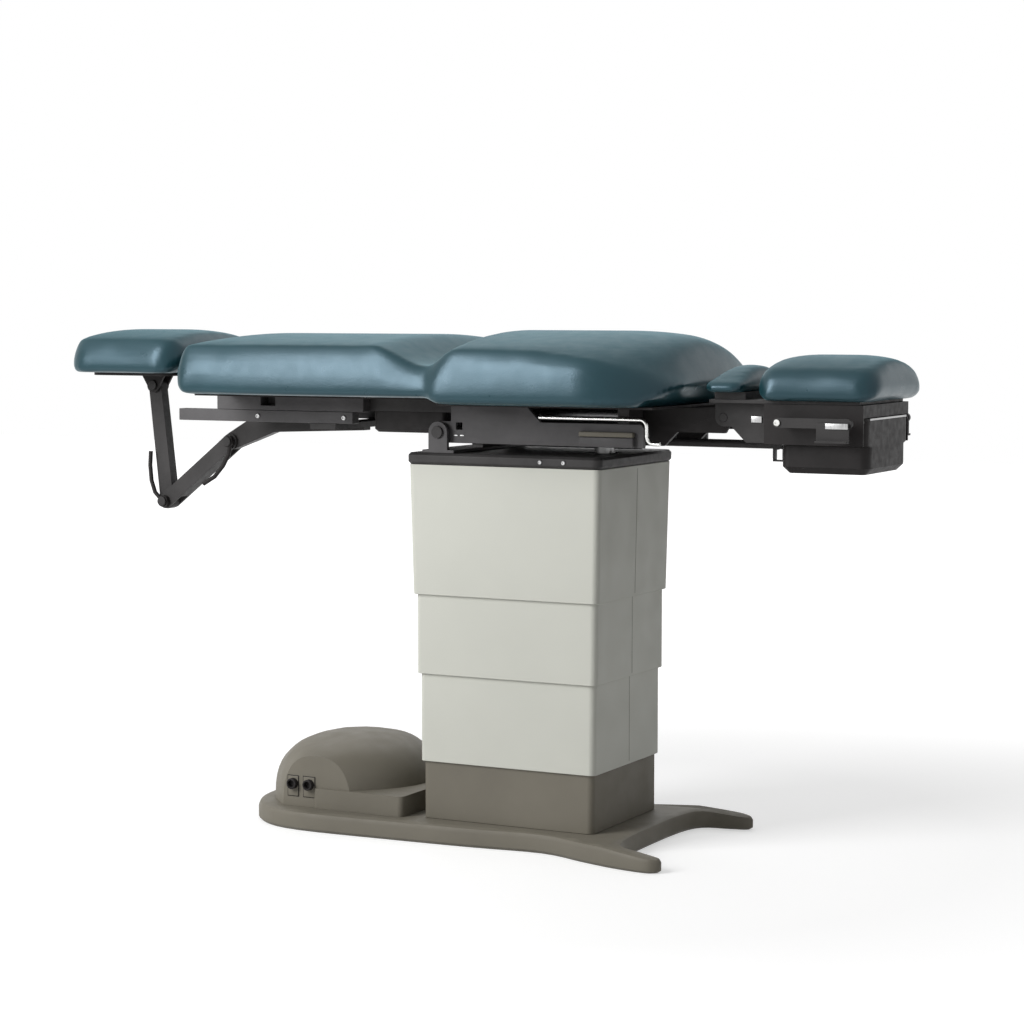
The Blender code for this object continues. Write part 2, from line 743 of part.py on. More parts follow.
def top_plate():
    """The plate on the column, the tilt bracket on it and the tilt pin."""
    levels = ((COLUMN_TOP, TOP_EDGE), (COLUMN_TOP + TOP_EDGE, 0), (TOP_Z - TOP_EDGE, 0), (TOP_Z, TOP_EDGE))
    rings = []
    for z, inset in levels:
        outline = rounded(TOP_HALF_X - inset, TOP_HALF_Y - inset, TOP_CORNER - inset)
        rings.append([(x, y, z) for x, y in outline])
    slot_x = TILT_BARREL_R + TILT_SLOT_X
    slot_y = TILT_BARREL_R + TRUNNION_REACH
    slot = box((TRUNNION_X - slot_x, -slot_y, COLUMN_TOP - TOP_T),
               (TRUNNION_X + slot_x, slot_y, TOP_Z + TOP_T))
    add("top_plate", "carriage", cut(solid(loft(rings)), slot), "frame_paint")

    floor = TOP_Z + SEAT_GAP
    ear_out = TILT_EAR_Y + TILT_EAR_T
    bracket = solid(box((TILT_X - TILT_FOOT_HALF_X, -ear_out, floor),
                        (TILT_X + TILT_FOOT_HALF_X, ear_out, floor + TILT_FOOT_T)))
    ear = [(TILT_X + TILT_EAR_R, floor + TILT_FOOT_T / 2)]
    ear += arc((TILT_X, TILT_Z), TILT_EAR_R, 0, 180, ROUND_SIDES // 2)
    ear += [(TILT_X - TILT_EAR_R, floor + TILT_FOOT_T / 2)]
    fuse(bracket, prism(ear, "y", -ear_out, -TILT_EAR_Y), prism(ear, "y", TILT_EAR_Y, ear_out))
    cut(bracket, rod("y", (TILT_X, TILT_Z), -TOP_HALF_Y, TOP_HALF_Y, TILT_PIN_R + RUN_GAP))
    add("tilt_bracket", "carriage", bracket, "grey_paint")

    head = ear_out + SEAT_GAP
    end = head + 0.6 * TILT_EAR_T
    head_r = 1.5 * TILT_PIN_R
    stations = [(-end, head_r), (-head, head_r), (-head, TILT_PIN_R), (head, TILT_PIN_R),
                (head, head_r), (end, head_r)]
    add("tilt_pin", "carriage", solid(turned("y", (TILT_X, TILT_Z), stations)), "frame_paint")


def tilt_cylinder():
    """The cylinder that hangs in the top plate on two trunnions, and its rod."""
    low = TRUNNION_Z - TILT_BARREL_DOWN
    high = TRUNNION_Z + TILT_BARREL_UP
    bore = TILT_ROD_R + RUN_GAP
    stations = [(low, TILT_BARREL_R), (high, TILT_BARREL_R), (high, bore), (low + 0.006, bore)]
    barrel = solid(turned("z", (TRUNNION_X, 0), stations))
    reach = TILT_BARREL_R + TRUNNION_REACH - SEAT_GAP
    inner = TILT_BARREL_R - 0.004
    for side in (-1, 1):
        fuse(barrel, rod("y", (TRUNNION_X, TRUNNION_Z), side * inner, side * reach, TRUNNION_R))
    add("tilt_cylinder", "tilt_barrel", barrel, "ram_steel")

    pin = (TRUNNION_X, TILT_ROD_PIN_Z)
    piston = solid(rod("z", (TRUNNION_X, 0), low + TILT_BARREL_R, TILT_ROD_PIN_Z, TILT_ROD_R))
    fuse(piston, rod("y", pin, -TILT_ROD_R - 0.002, TILT_ROD_R + 0.002, CLEVIS_EYE_R))
    cut(piston, rod("y", pin, -TILT_BARREL_R, TILT_BARREL_R, TRUNNION_R + 2 * RUN_GAP))
    add("tilt_rod", "tilt_rod", piston, "bright_steel")

    inside = TILT_ROD_R + 0.002 + 2 * SEAT_GAP
    outside = inside + CLEVIS_T
    plate_top = SEAT_PAN_Z - SEAT_GAP
    clevis = solid(box((TRUNNION_X - 0.025, -outside - 0.012, plate_top - CLEVIS_T / 2),
                       (TRUNNION_X + 0.025, outside + 0.012, plate_top)))
    lug = capsule((TRUNNION_X, plate_top - CLEVIS_T / 3), pin, CLEVIS_EYE_R - 0.002, CLEVIS_EYE_R)
    lug = [(x, min(z, plate_top - CLEVIS_T / 4)) for x, z in lug]
    fuse(clevis, prism(lug, "y", -outside, -inside), prism(lug, "y", inside, outside),
         rod("y", pin, -inside - CLEVIS_T / 2, inside + CLEVIS_T / 2, TRUNNION_R))
    add("tilt_clevis", "seat", clevis, "frame_paint")


# Pads

def bell(x, centre, reach):
    """1 at the centre, falling smoothly to 0 at the reach."""
    share = abs(x - centre) / reach
    return 0.5 * (1 + math.cos(math.pi * share)) if share < 1 else 0.0


def pad_ring(x, half, bottom, top, crown):
    """A padded cross-section: round edges that run into a crowned top, and a flat underside."""
    edge = min(PAD_EDGE, 0.8 * half)
    middle = (bottom + top) / 2
    reach = (top - bottom) / 2
    flat = half - edge
    last = math.atan2(reach * flat, 2 * crown * edge)
    side = []
    for i in range(EDGE_STEPS + 1):
        angle = (last + math.pi / 2) * i / EDGE_STEPS - math.pi / 2
        out = math.cos(angle) ** 0.75
        rise = math.copysign(abs(math.sin(angle)) ** 0.85, math.sin(angle))
        side.append((flat + edge * out, middle + reach * rise))
    ring = list(side)
    shoulder, shoulder_z = side[-1]
    for i in range(1, CROWN_STEPS):
        share = 1 - 2 * i / CROWN_STEPS
        ring.append((shoulder * share, shoulder_z + crown * (1 - share ** 2)))
    ring += [(-y, z) for y, z in reversed(side)]
    ring.append((0, bottom))
    return [(x, y, z) for y, z in ring]


def pad(head, foot, half, form, head_shape, foot_shape, stations):
    """A cushion from head to foot. Form gives its underside, the top at its sides and its crown at x.

    Each end's shape is its corner radius in plan and its nose radius.
    """
    def swell(distance, radius):
        return math.sqrt(max(1 - (1 - distance / radius) ** 2, 0)) if distance < radius else 1.0

    reach = min(CROWN_REACH, 0.45 * (foot - head))
    places = set()
    for tip, way, (corner, nose) in ((head, 1, head_shape), (foot, -1, foot_shape)):
        for degrees in (22, 42, 64, 90):
            share = 1 - math.cos(math.radians(degrees))
            places.add(tip + way * nose * share)
            places.add(tip + way * (nose * 0.08 + corner * share))
    inner_head = head + max(head_shape)
    inner_foot = foot - max(foot_shape)
    for i in range(1, stations):
        places.add(inner_head + (inner_foot - inner_head) * i / stations)
    rings = []
    for x in sorted(places):
        from_head = max(x - head, 1e-5)
        from_foot = max(foot - x, 1e-5)
        nose = min(swell(from_head, head_shape[1]), swell(from_foot, foot_shape[1])) ** 0.8
        width = half
        for distance, (corner, _) in ((from_head, head_shape), (from_foot, foot_shape)):
            width -= corner * (1 - swell(distance, corner))
        bottom, top, crown = form(x)
        crown *= min(swell(from_head, reach), swell(from_foot, reach))
        middle = bottom + 0.45 * (top - bottom)
        rings.append(pad_ring(x, width, middle + (bottom - middle) * nose, middle + (top - middle) * nose,
                              crown * nose))
    return solid(loft(rings))


def pads():
    """The five upholstered pads."""
    crease_z = HINGE_Z + CREASE_LIP

    def creased(x, bottom, top, crown, reach):
        dip = bell(x, CREASE_X, reach)
        return bottom, top - (top - crease_z) * dip, crown * (1 - dip)

    def back_form(x):
        return creased(x, BACK_PAD_BOTTOM, BACK_PAD_BOTTOM + BACK_PAD_T, BACK_CROWN, BACK_DIP_REACH)

    def seat_form(x):
        step = min(max((SEAT_STEP_X - x) / SEAT_STEP_RUN, 0), 1) * (BACK_PAD_BOTTOM - SEAT_PAD_BOTTOM)
        rise = SEAT_RISE * max(x - SEAT_RISE_X, 0) / (SEAT_FRONT_X - SEAT_RISE_X)
        fall = SEAT_FALL * (max(x - SEAT_FALL_X, 0) / (SEAT_FRONT_X - SEAT_FALL_X)) ** 2
        top = SEAT_PAD_BOTTOM + SEAT_PAD_T - fall
        return creased(x, SEAT_PAD_BOTTOM + step + rise, top, SEAT_CROWN, SEAT_DIP_REACH)

    def plain(bottom, thickness, crown):
        return lambda x: (bottom, bottom + thickness, crown)

    crease = (CREASE_NOSE, CREASE_NOSE)
    add("back_pad", "back",
        pad(BACK_HEAD_X, CREASE_X - CREASE_GAP, BACK_HALF_Y, back_form,
            (BACK_CORNER, PAD_NOSE), crease, 14), "vinyl")
    add("seat_pad", "seat",
        pad(CREASE_X + CREASE_GAP, SEAT_FRONT_X, SEAT_HALF_Y, seat_form,
            crease, (SEAT_CORNER, SEAT_NOSE), 14), "vinyl")
    add("headrest_pad", "headrest",
        pad(REST_HEAD_X, REST_FOOT_X, REST_HALF_Y, plain(REST_BOTTOM, REST_PAD_T, REST_CROWN),
            (REST_CORNER, PAD_NOSE), (REST_CORNER, PAD_NOSE), 6), "vinyl")
    add("calf_pad", "foot",
        pad(CALF_HEAD_X, CALF_FOOT_X, FOOT_HALF_Y, plain(CALF_PAD_BOTTOM, CALF_PAD_T, CALF_CROWN),
            (CALF_CORNER, CALF_CORNER), (CALF_CORNER, CALF_CORNER), 4), "vinyl")
    add("foot_pad", "foot",
        pad(FOOT_HEAD_X, FOOT_END_X, FOOT_HALF_Y, plain(FOOT_PAD_BOTTOM, FOOT_PAD_T, FOOT_CROWN),
            (FOOT_CORNER, PAD_NOSE), (FOOT_CORNER, PAD_NOSE), 6), "vinyl")


# Seat frame and back hinge

def hinged_pan(leaf_side, knuckles, outline, half_y):
    """A pan with an upright hinge leaf and its share of the knuckles, bored for the pin."""
    pan = solid(prism(outline, "y", -half_y, half_y))
    pitch = 2 * HINGE_HALF_Y / KNUCKLE_COUNT
    clear = KNUCKLE_R + SIDE_GAP
    outer = CREASE_X + leaf_side * (CREASE_GAP - SEAT_GAP)
    inner = outer - leaf_side * HINGE_LEAF_T
    foot_z = HINGE_Z - clear - HINGE_LEAF_T
    for i in knuckles:
        low = -HINGE_HALF_Y + i * pitch + SIDE_GAP / 2
        high = low + pitch - SIDE_GAP
        start = 0 if leaf_side > 0 else 180
        barrel = arc((CREASE_X, HINGE_Z), KNUCKLE_R, start, start + leaf_side * 270, ROUND_SIDES)
        fuse(pan, prism(barrel + [(inner, foot_z), (outer, foot_z), (outer, HINGE_Z)], "y", low, high))
    return cut(pan, rod("y", (CREASE_X, HINGE_Z), -half_y, half_y, HINGE_PIN_R + RUN_GAP))


def seat_frame():
    """Side plates, cross ties, seat pan, hydraulic line and the pin of the back hinge."""
    outline = arc((TILT_X, TILT_Z), TILT_EAR_R, 100, 270, ROUND_SIDES // 2)
    outline += [
        (SIDE_PLATE_FOOT_X, SIDE_PLATE_BOTTOM),
        (SIDE_PLATE_FOOT_X, SIDE_PLATE_STEP_Z - SIDE_PLATE_CHAMFER),
        (SIDE_PLATE_FOOT_X - SIDE_PLATE_CHAMFER, SIDE_PLATE_STEP_Z),
        (SIDE_PLATE_STEP_X + SIDE_PLATE_TOP - SIDE_PLATE_STEP_Z, SIDE_PLATE_STEP_Z),
        (SIDE_PLATE_STEP_X, SIDE_PLATE_TOP),
        (SIDE_PLATE_HEAD_X, SIDE_PLATE_TOP),
        (SIDE_PLATE_HEAD_X, TILT_Z + TILT_EAR_R),
    ]
    inner = SIDE_PLATE_Y
    outer = SIDE_PLATE_Y + SIDE_PLATE_T
    half_hole = SIDE_HOLE / 2
    for name, side in (("seat_side_plate_near", -1), ("seat_side_plate_far", 1)):
        low, high = sorted((side * inner, side * outer))
        plate = solid(prism(outline, "y", low, high))
        cut(plate, rod("y", (TILT_X, TILT_Z), low - 0.01, high + 0.01, TILT_PIN_R + RUN_GAP),
            box((SIDE_HOLE_X - half_hole, low - 0.01, SIDE_HOLE_Z - half_hole),
                (SIDE_HOLE_X + half_hole, high + 0.01, SIDE_HOLE_Z + half_hole)))
        add(name, "seat", plate, "grey_paint")

    span = SIDE_PLATE_Y - SEAT_GAP
    rear_low = REAR_TIE_Z - TIE_WIDTH / 2
    add("seat_rear_tie", "seat",
        solid(box((REAR_TIE_X - TIE_WIDTH / 2, -span, rear_low),
                  (REAR_TIE_X + TIE_WIDTH / 2, span, rear_low + TIE_WIDTH))), "frame_paint")
    tie_top = SEAT_PAN_Z - SEAT_GAP
    add("seat_front_tie", "seat",
        solid(box((FRONT_TIE_X - TIE_WIDTH / 2, -span, tie_top - 1.4 * TIE_WIDTH),
                  (FRONT_TIE_X + TIE_WIDTH / 2, span, tie_top))), "frame_paint")

    outer = CREASE_X + CREASE_GAP - SEAT_GAP
    leaf_top = HINGE_Z - KNUCKLE_R - SIDE_GAP
    pan_top = SEAT_PAN_Z + SEAT_PAN_T
    outline = [(outer - HINGE_LEAF_T, SEAT_PAN_Z), (SEAT_PAN_FRONT_X, SEAT_PAN_Z),
               (SEAT_PAN_FRONT_X, pan_top), (outer, pan_top), (outer, leaf_top),
               (outer - HINGE_LEAF_T, leaf_top)]
    seat_knuckles = range(0, KNUCKLE_COUNT, 2)
    add("seat_pan", "seat", hinged_pan(1, seat_knuckles, outline, SEAT_PAN_HALF_Y), "black_plastic")
    add("back_hinge_pin", "seat",
        solid(rod("y", (CREASE_X, HINGE_Z), -HINGE_HALF_Y, HINGE_HALF_Y, HINGE_PIN_R)), "bright_steel")

    line_y = -(SIDE_PLATE_Y + SIDE_PLATE_T / 2)
    slant_x = SIDE_PLATE_STEP_X + SIDE_PLATE_TOP - LINE_Z
    start = slant_x + LINE_R + 2 * SEAT_GAP
    drop_x = SIDE_PLATE_FOOT_X + LINE_R + SEAT_GAP
    bend = arc((drop_x - LINE_BEND_R, LINE_Z - LINE_BEND_R), LINE_BEND_R, 90, 0, 6)
    bend += arc((drop_x + LINE_BEND_R, LINE_DROP_Z + LINE_BEND_R), LINE_BEND_R, 180, 270, 6)
    route = [(start, LINE_Z)] + bend + [(LINE_END_X, LINE_DROP_Z)]
    path = [(x, line_y, z) for x, z in route]
    add("hydraulic_line", "seat", solid(sweep(path, LINE_R)), "bright_steel")


# Back section

def crank(hinge, radius, degrees, side_y, root):
    """Two cheeks and their pin on the far side of a hinge. Root holds the edge that they spring from."""
    lean = math.radians(degrees)
    pin = (hinge[0] + radius * math.sin(lean), hinge[1] - radius * math.cos(lean))
    eye_r = YOKE_PIN_R + YOKE_RIM
    inside = max(YOKE_HALF_Y, ROD_R) + SIDE_GAP
    outside = inside + CHEEK_T
    shapes = []
    for low, high in ((side_y - outside, side_y - inside), (side_y + inside, side_y + outside)):
        shapes.append(prism(root(pin, eye_r), "y", low, high))
    shapes.append(rod("y", pin, side_y - inside - CHEEK_T / 2, side_y + inside + CHEEK_T / 2, YOKE_PIN_R))
    return shapes


def yoke_rod(name, body, hinge, radius, degrees, play, side_y, tail_x):
    """A piston rod with an upright slot that the crank's pin rides up and down in."""
    lean = math.radians(degrees)
    pin_x = hinge[0] + radius * math.sin(lean)
    high = hinge[1] - radius * math.cos(lean)
    low = hinge[1] - radius
    clear = YOKE_PIN_R + SEAT_GAP
    half = YOKE_PIN_R + play
    piston_z = (high + low) / 2 if tail_x > pin_x else high
    yoke = solid(box((pin_x - half - YOKE_RIM, side_y - YOKE_HALF_Y, low - clear - YOKE_RIM * 0.8),
                     (pin_x + half + YOKE_RIM, side_y + YOKE_HALF_Y, high + clear + YOKE_RIM * 0.8)))
    cut(yoke, box((pin_x - half, side_y - 2 * YOKE_HALF_Y, low - clear),
                  (pin_x + half, side_y + 2 * YOKE_HALF_Y, high + clear)))
    way = math.copysign(1, tail_x - pin_x)
    root_x = pin_x + way * (half + YOKE_RIM / 2)
    ends = sorted((root_x, tail_x))
    bar = rod("x", (side_y, piston_z), ends[0], ends[1], ROD_R)
    add(name, body, fuse(yoke, bar), "frame_paint")
    return piston_z


def barrel(name, side_y, piston_z, mouth_x, end_x):
    """A cylinder barrel, closed at end_x and open at its mouth."""
    way = math.copysign(1, end_x - mouth_x)
    bore = ROD_R + RUN_GAP
    stations = [(end_x, BARREL_R), (mouth_x, BARREL_R), (mouth_x, bore), (end_x - way * 0.008, bore)]
    add(name, "seat", solid(turned("x", (side_y, piston_z), stations)), "ram_steel")


def back_section():
    """Back pan, ladder frame with its crank, dark box, headrest guides and the back cylinder."""
    outer = CREASE_X - CREASE_GAP + SEAT_GAP
    pan_top = BACK_PAN_Z + BACK_PAN_T
    leaf_top = HINGE_Z - KNUCKLE_R - SIDE_GAP
    outline = [(BACK_PAN_HEAD_X, BACK_PAN_Z), (outer + HINGE_LEAF_T, BACK_PAN_Z),
               (outer + HINGE_LEAF_T, leaf_top), (outer, leaf_top), (outer, pan_top),
               (BACK_PAN_HEAD_X, pan_top)]
    back_knuckles = range(1, KNUCKLE_COUNT, 2)
    add("back_pan", "back", hinged_pan(-1, back_knuckles, outline, BACK_PAN_HALF_Y), "black_plastic")

    rail_out = BACK_RAIL_Y + BACK_RAIL_WIDTH
    frame = solid(box((BACK_PAN_HEAD_X, -rail_out, BACK_FRAME_BOTTOM),
                      (BACK_FRAME_FOOT_X, rail_out, BACK_FRAME_TOP)))
    pitch = (BACK_FRAME_FOOT_X - BACK_PAN_HEAD_X - BACK_CROSS_WIDTH) / (BACK_CROSS_COUNT - 1)
    for i in range(BACK_CROSS_COUNT - 1):
        window = BACK_PAN_HEAD_X + i * pitch + BACK_CROSS_WIDTH
        cut(frame, box((window, -BACK_RAIL_Y, BACK_FRAME_BOTTOM - BACK_FRAME_T),
                       (window + pitch - BACK_CROSS_WIDTH, BACK_RAIL_Y, BACK_FRAME_TOP + BACK_FRAME_T)))

    def root(pin, eye_r):
        high = BACK_FRAME_TOP - 0.002
        low = BACK_FRAME_BOTTOM + 0.001
        tail = BACK_FRAME_FOOT_X - 0.8 * BACK_CROSS_WIDTH
        under_pan = SEAT_PAN_Z - 3 * SIDE_GAP
        return ([(tail, low), (BACK_FRAME_FOOT_X, low - 0.006)]
                + arc(pin, eye_r, 250, 445, ROUND_SIDES // 2)
                + [(outer - HINGE_LEAF_T, under_pan), (BACK_FRAME_FOOT_X, high), (tail, high)])

    hinge = (CREASE_X, HINGE_Z)
    fuse(frame, *crank(hinge, BACK_CRANK_R, BACK_CRANK_DEG, -CYLINDER_Y, root))
    add("back_frame", "back", frame, "frame_paint")

    mouth = BACK_BARREL_MOUTH_X
    end = FRONT_TIE_X - TIE_WIDTH / 2 - SEAT_GAP
    piston_z = yoke_rod("back_rod", "back_rod", hinge, BACK_CRANK_R, BACK_CRANK_DEG, BACK_YOKE_PLAY,
                        -CYLINDER_Y, end - 0.030)
    barrel("back_cylinder", -CYLINDER_Y, piston_z, mouth, end)

    box_top = BACK_FRAME_BOTTOM - SEAT_GAP
    middle = ((BACK_BOX_HEAD_X + BACK_BOX_FOOT_X) / 2, 0)
    half_x = (BACK_BOX_FOOT_X - BACK_BOX_HEAD_X) / 2
    rings = []
    for z, inset in ((box_top - BACK_BOX_H, 0.006), (box_top - BACK_BOX_H + 0.006, 0), (box_top, 0)):
        plan = rounded(half_x - inset, BACK_BOX_HALF_Y - inset, 0.010 - inset / 2, middle)
        rings.append([(x, y, z) for x, y in plan])
    add("back_box", "back", solid(loft(rings)), "black_plastic")

    notch = GUIDE_NOTCH_X + GUIDE_NOTCH_WIDTH / 2
    outline = [
        (GUIDE_HEAD_X, GUIDE_BOTTOM),
        (GUIDE_FOOT_X, GUIDE_BOTTOM),
        (GUIDE_FOOT_X, BACK_FRAME_TOP),
        (notch, BACK_FRAME_TOP),
        (notch, GUIDE_BOTTOM + 0.3 * GUIDE_H),
        (notch - GUIDE_NOTCH_WIDTH, GUIDE_BOTTOM + 0.3 * GUIDE_H),
        (notch - GUIDE_NOTCH_WIDTH, BACK_FRAME_TOP),
        (GUIDE_HEAD_X, BACK_FRAME_TOP),
    ]
    for name, side in (("headrest_guide_near", -1), ("headrest_guide_far", 1)):
        low, high = sorted((side * GUIDE_Y, side * (GUIDE_Y + GUIDE_WIDTH)))
        add(name, "back", solid(prism(outline, "y", low, high)), "grey_paint")


# Headrest

def joint_pin(name, body, centre, near_reach):
    """A headed pin through a fork. Near_reach is where its near head begins."""
    far = FORK_OUT + SEAT_GAP
    stations = [(-near_reach - JOINT_HEAD_T, JOINT_HEAD_R), (-near_reach, JOINT_HEAD_R),
                (-near_reach, JOINT_PIN_R), (far, JOINT_PIN_R), (far, JOINT_HEAD_R),
                (far + JOINT_HEAD_T, JOINT_HEAD_R)]
    add(name, body, solid(turned("y", centre, stations)), "frame_paint")


def pin_hole(centre):
    """A cutter for a joint pin, right through a fork."""
    return rod("y", centre, -3 * FORK_OUT, 3 * FORK_OUT, JOINT_PIN_R + RUN_GAP)


def lever(name, body, centre, curve):
    """A curved clamp lever with its hub on a joint pin, beside the fork's near cheek."""
    high = -(FORK_OUT + SEAT_GAP)
    low = high - LEVER_T
    middle = (high + low) / 2
    hub = solid(rod("y", centre, low, high, LEVER_HUB_R))
    path = [(centre[0] + dx, middle, centre[1] + dz) for dx, dz in curve]
    cut(fuse(hub, sweep(path, LEVER_R)), pin_hole(centre))
    add(name, body, hub, "black_plastic")


def headrest():
    """Rails and arm, link, post, levers, and the board under the headrest pad."""
    for name, side in (("headrest_rail_near", -1), ("headrest_rail_far", 1)):
        low, high = sorted((side * GUIDE_Y, side * (GUIDE_Y + GUIDE_WIDTH)))
        add(name, "headrest_slide",
            solid(box((RAIL_HEAD_X, low, RAIL_BOTTOM), (RAIL_FOOT_X, high, RAIL_TOP))), "grey_paint")

    knuckle = (KNUCKLE_X, KNUCKLE_Z)
    elbow = (ELBOW_X, ELBOW_Z)
    post_top = (POST_TOP_X, POST_TOP_Z)
    outline = [(ARM_FOOT_X, ARM_TOP), (KNUCKLE_X + 2.6 * ARM_EYE_R, ARM_TOP)]
    outline += arc(knuckle, ARM_EYE_R, 115, 290, ROUND_SIDES // 2)
    outline += [(KNUCKLE_X + 6 * ARM_EYE_R, ARM_TOP - 2.2 * ARM_T), (ARM_FOOT_X, ARM_TOP - 1.5 * ARM_T)]
    arm = solid(prism(outline, "y", -JOINT_HALF_Y, JOINT_HALF_Y))
    tie_half = GUIDE_Y + GUIDE_WIDTH
    fuse(arm, box((ARM_FOOT_X - ARM_TIE_WIDTH, -tie_half, ARM_TOP - ARM_T), (ARM_FOOT_X, tie_half, ARM_TOP)))
    add("headrest_arm", "headrest_slide", cut(arm, pin_hole(knuckle)), "frame_paint")

    link = solid(prism(capsule(elbow, knuckle, LINK_HALF_W, LINK_HALF_W), "y", -FORK_OUT, FORK_OUT))
    run = (Vector(knuckle) - Vector(elbow)).normalized()
    for centre, way in ((knuckle, -1), (elbow, 1)):
        mouth = Vector(centre) - run * way * LINK_SLOT
        root = Vector(centre) + run * way * LINK_SLOT
        slot = capsule(tuple(mouth), tuple(root), 1.5 * ARM_EYE_R, 1.5 * ARM_EYE_R)
        square = [point for point in slot if (Vector(point) - root).dot(run) * way <= 1e-6]
        cut(link, prism(square, "y", -FORK_IN, FORK_IN))
    cut(link, pin_hole(knuckle), pin_hole(elbow))
    add("headrest_link", "headrest_link", link, "frame_paint")

    outline = capsule(elbow, post_top, POST_HALF_W, POST_TOP_HALF_W)
    post = solid(prism(outline, "y", -JOINT_HALF_Y, JOINT_HALF_Y))
    add("headrest_post", "headrest_post", cut(post, pin_hole(elbow), pin_hole(post_top)), "frame_paint")

    lever_reach = FORK_OUT + LEVER_T + 2 * SEAT_GAP
    joint_pin("knuckle_pin", "headrest_slide", knuckle, lever_reach)
    joint_pin("elbow_pin", "headrest_link", elbow, lever_reach)
    joint_pin("headrest_pin", "headrest", post_top, FORK_OUT + SEAT_GAP)
    lever("knuckle_lever", "knuckle_lever", knuckle,
          ((0.004, -0.009), (0.000, -0.028), (-0.014, -0.052), (-0.036, -0.076), (-0.064, -0.092)))
    lever("elbow_lever", "elbow_lever", elbow,
          ((-0.008, 0.005), (-0.022, 0.018), (-0.031, 0.043), (-0.034, 0.076), (-0.032, 0.106)))

    board_top = REST_BOTTOM - SEAT_GAP
    board_z = board_top - BOARD_T
    middle = ((BOARD_HEAD_X + BOARD_FOOT_X) / 2, 0)
    half_x = (BOARD_FOOT_X - BOARD_HEAD_X) / 2
    board = solid(prism(rounded(half_x, BOARD_HALF_Y, 0.03, middle), "z", board_z, board_top))
    ear_z = board_z + BOARD_T / 2
    ear = arc(post_top, POST_TOP_HALF_W, 180, 360, ROUND_SIDES // 2)
    ear += [(POST_TOP_X + 2 * POST_TOP_HALF_W, ear_z), (POST_TOP_X - 2 * POST_TOP_HALF_W, ear_z)]
    fuse(board, prism(ear, "y", -FORK_OUT, -FORK_IN), prism(ear, "y", FORK_IN, FORK_OUT))
    add("headrest_board", "headrest", cut(board, pin_hole(post_top)), "black_plastic")


# Foot section

def foot_section():
    """Hinge bracket and shaft, foot frame with its crank, and the foot cylinder."""
    hinge = (FOOT_HINGE_X, FOOT_HINGE_Z)
    hole = rod("y", hinge, -SEAT_HALF_Y, SEAT_HALF_Y, FOOT_SHAFT_R + RUN_GAP)
    inner = FOOT_BRACKET_Y
    outer = FOOT_BRACKET_Y + FOOT_BRACKET_T
    head = FRONT_TIE_X + TIE_WIDTH / 2 + SEAT_GAP
    end = FOOT_HINGE_X + FOOT_HUB_R
    top = SEAT_PAN_Z - SEAT_GAP
    bracket = solid(box((head, -inner - SIDE_GAP, top - FOOT_BRACKET_H),
                        (head + FOOT_BRACKET_T, inner + SIDE_GAP, top)))
    cheek = [(head, top), (head, FOOT_CHEEK_BOTTOM), (FOOT_CHEEK_STEP_X, FOOT_CHEEK_BOTTOM),
             (FOOT_CHEEK_STEP_X + FOOT_CHEEK_STEP_Z - FOOT_CHEEK_BOTTOM, FOOT_CHEEK_STEP_Z),
             (FOOT_HINGE_X, FOOT_CHEEK_STEP_Z), (end, FOOT_HINGE_Z), (end, top)]
    fuse(bracket, prism(cheek, "y", -outer, -inner), prism(cheek, "y", inner, outer))
    add("foot_hinge_bracket", "seat", cut(bracket, hole), "black_plastic")

    arm_in = outer + SIDE_GAP
    arm_out = arm_in + FOOT_ARM_T
    plate_top = FOOT_PLATE_Z + FOOT_PLATE_T
    frame = solid(box((FOOT_PLATE_HEAD_X, -FOOT_PLATE_HALF_Y, FOOT_PLATE_Z),
                      (FOOT_PLATE_FOOT_X, FOOT_PLATE_HALF_Y, plate_top)))
    arm_end = HOUSING_HEAD_X - SIDE_GAP
    mid_plate = FOOT_PLATE_Z + FOOT_PLATE_T / 2
    hub_low = FOOT_HINGE_Z - FOOT_HUB_R
    slope_x = FOOT_HINGE_X + FOOT_HUB_R
    side = arc(hinge, FOOT_HUB_R, 180, 270, ROUND_SIDES // 4)
    side += [(slope_x, hub_low), (slope_x + hub_low - FOOT_ARM_BOTTOM, FOOT_ARM_BOTTOM),
             (arm_end, FOOT_ARM_BOTTOM), (arm_end, mid_plate), (FOOT_HINGE_X - FOOT_HUB_R, mid_plate)]
    fuse(frame, prism(side, "y", -arm_out, -arm_in), prism(side, "y", arm_in, arm_out))
    board_y = FOOT_PLATE_HALF_Y - CALF_BOARD_INSET
    fuse(frame, box((FOOT_PLATE_HEAD_X + CALF_BOARD_INSET, -board_y, mid_plate),
                    (CALF_FOOT_X - CALF_BOARD_INSET, board_y, CALF_PAD_BOTTOM - SEAT_GAP)))

    def root(pin, eye_r):
        return (arc(pin, eye_r, 180, 360, ROUND_SIDES // 2)
                + [(arm_end, mid_plate), (FOOT_HINGE_X + 2 * FOOT_HUB_R, mid_plate)])

    fuse(frame, *crank(hinge, FOOT_CRANK_R, FOOT_CRANK_DEG, CYLINDER_Y, root))
    add("foot_frame", "foot", cut(frame, hole), "frame_paint")

    shaft_half = arm_out + SIDE_GAP
    shaft = solid(rod("y", hinge, -shaft_half, shaft_half, FOOT_SHAFT_R))
    add("foot_hinge_shaft", "seat", shaft, "frame_paint")

    end = REAR_TIE_X + TIE_WIDTH / 2 + SEAT_GAP
    piston_z = yoke_rod("foot_rod", "foot_rod", hinge, FOOT_CRANK_R, FOOT_CRANK_DEG, FOOT_YOKE_PLAY,
                        CYLINDER_Y, FOOT_BARREL_MOUTH_X - 0.060)
    barrel("foot_cylinder", CYLINDER_Y, piston_z, FOOT_BARREL_MOUTH_X, end)


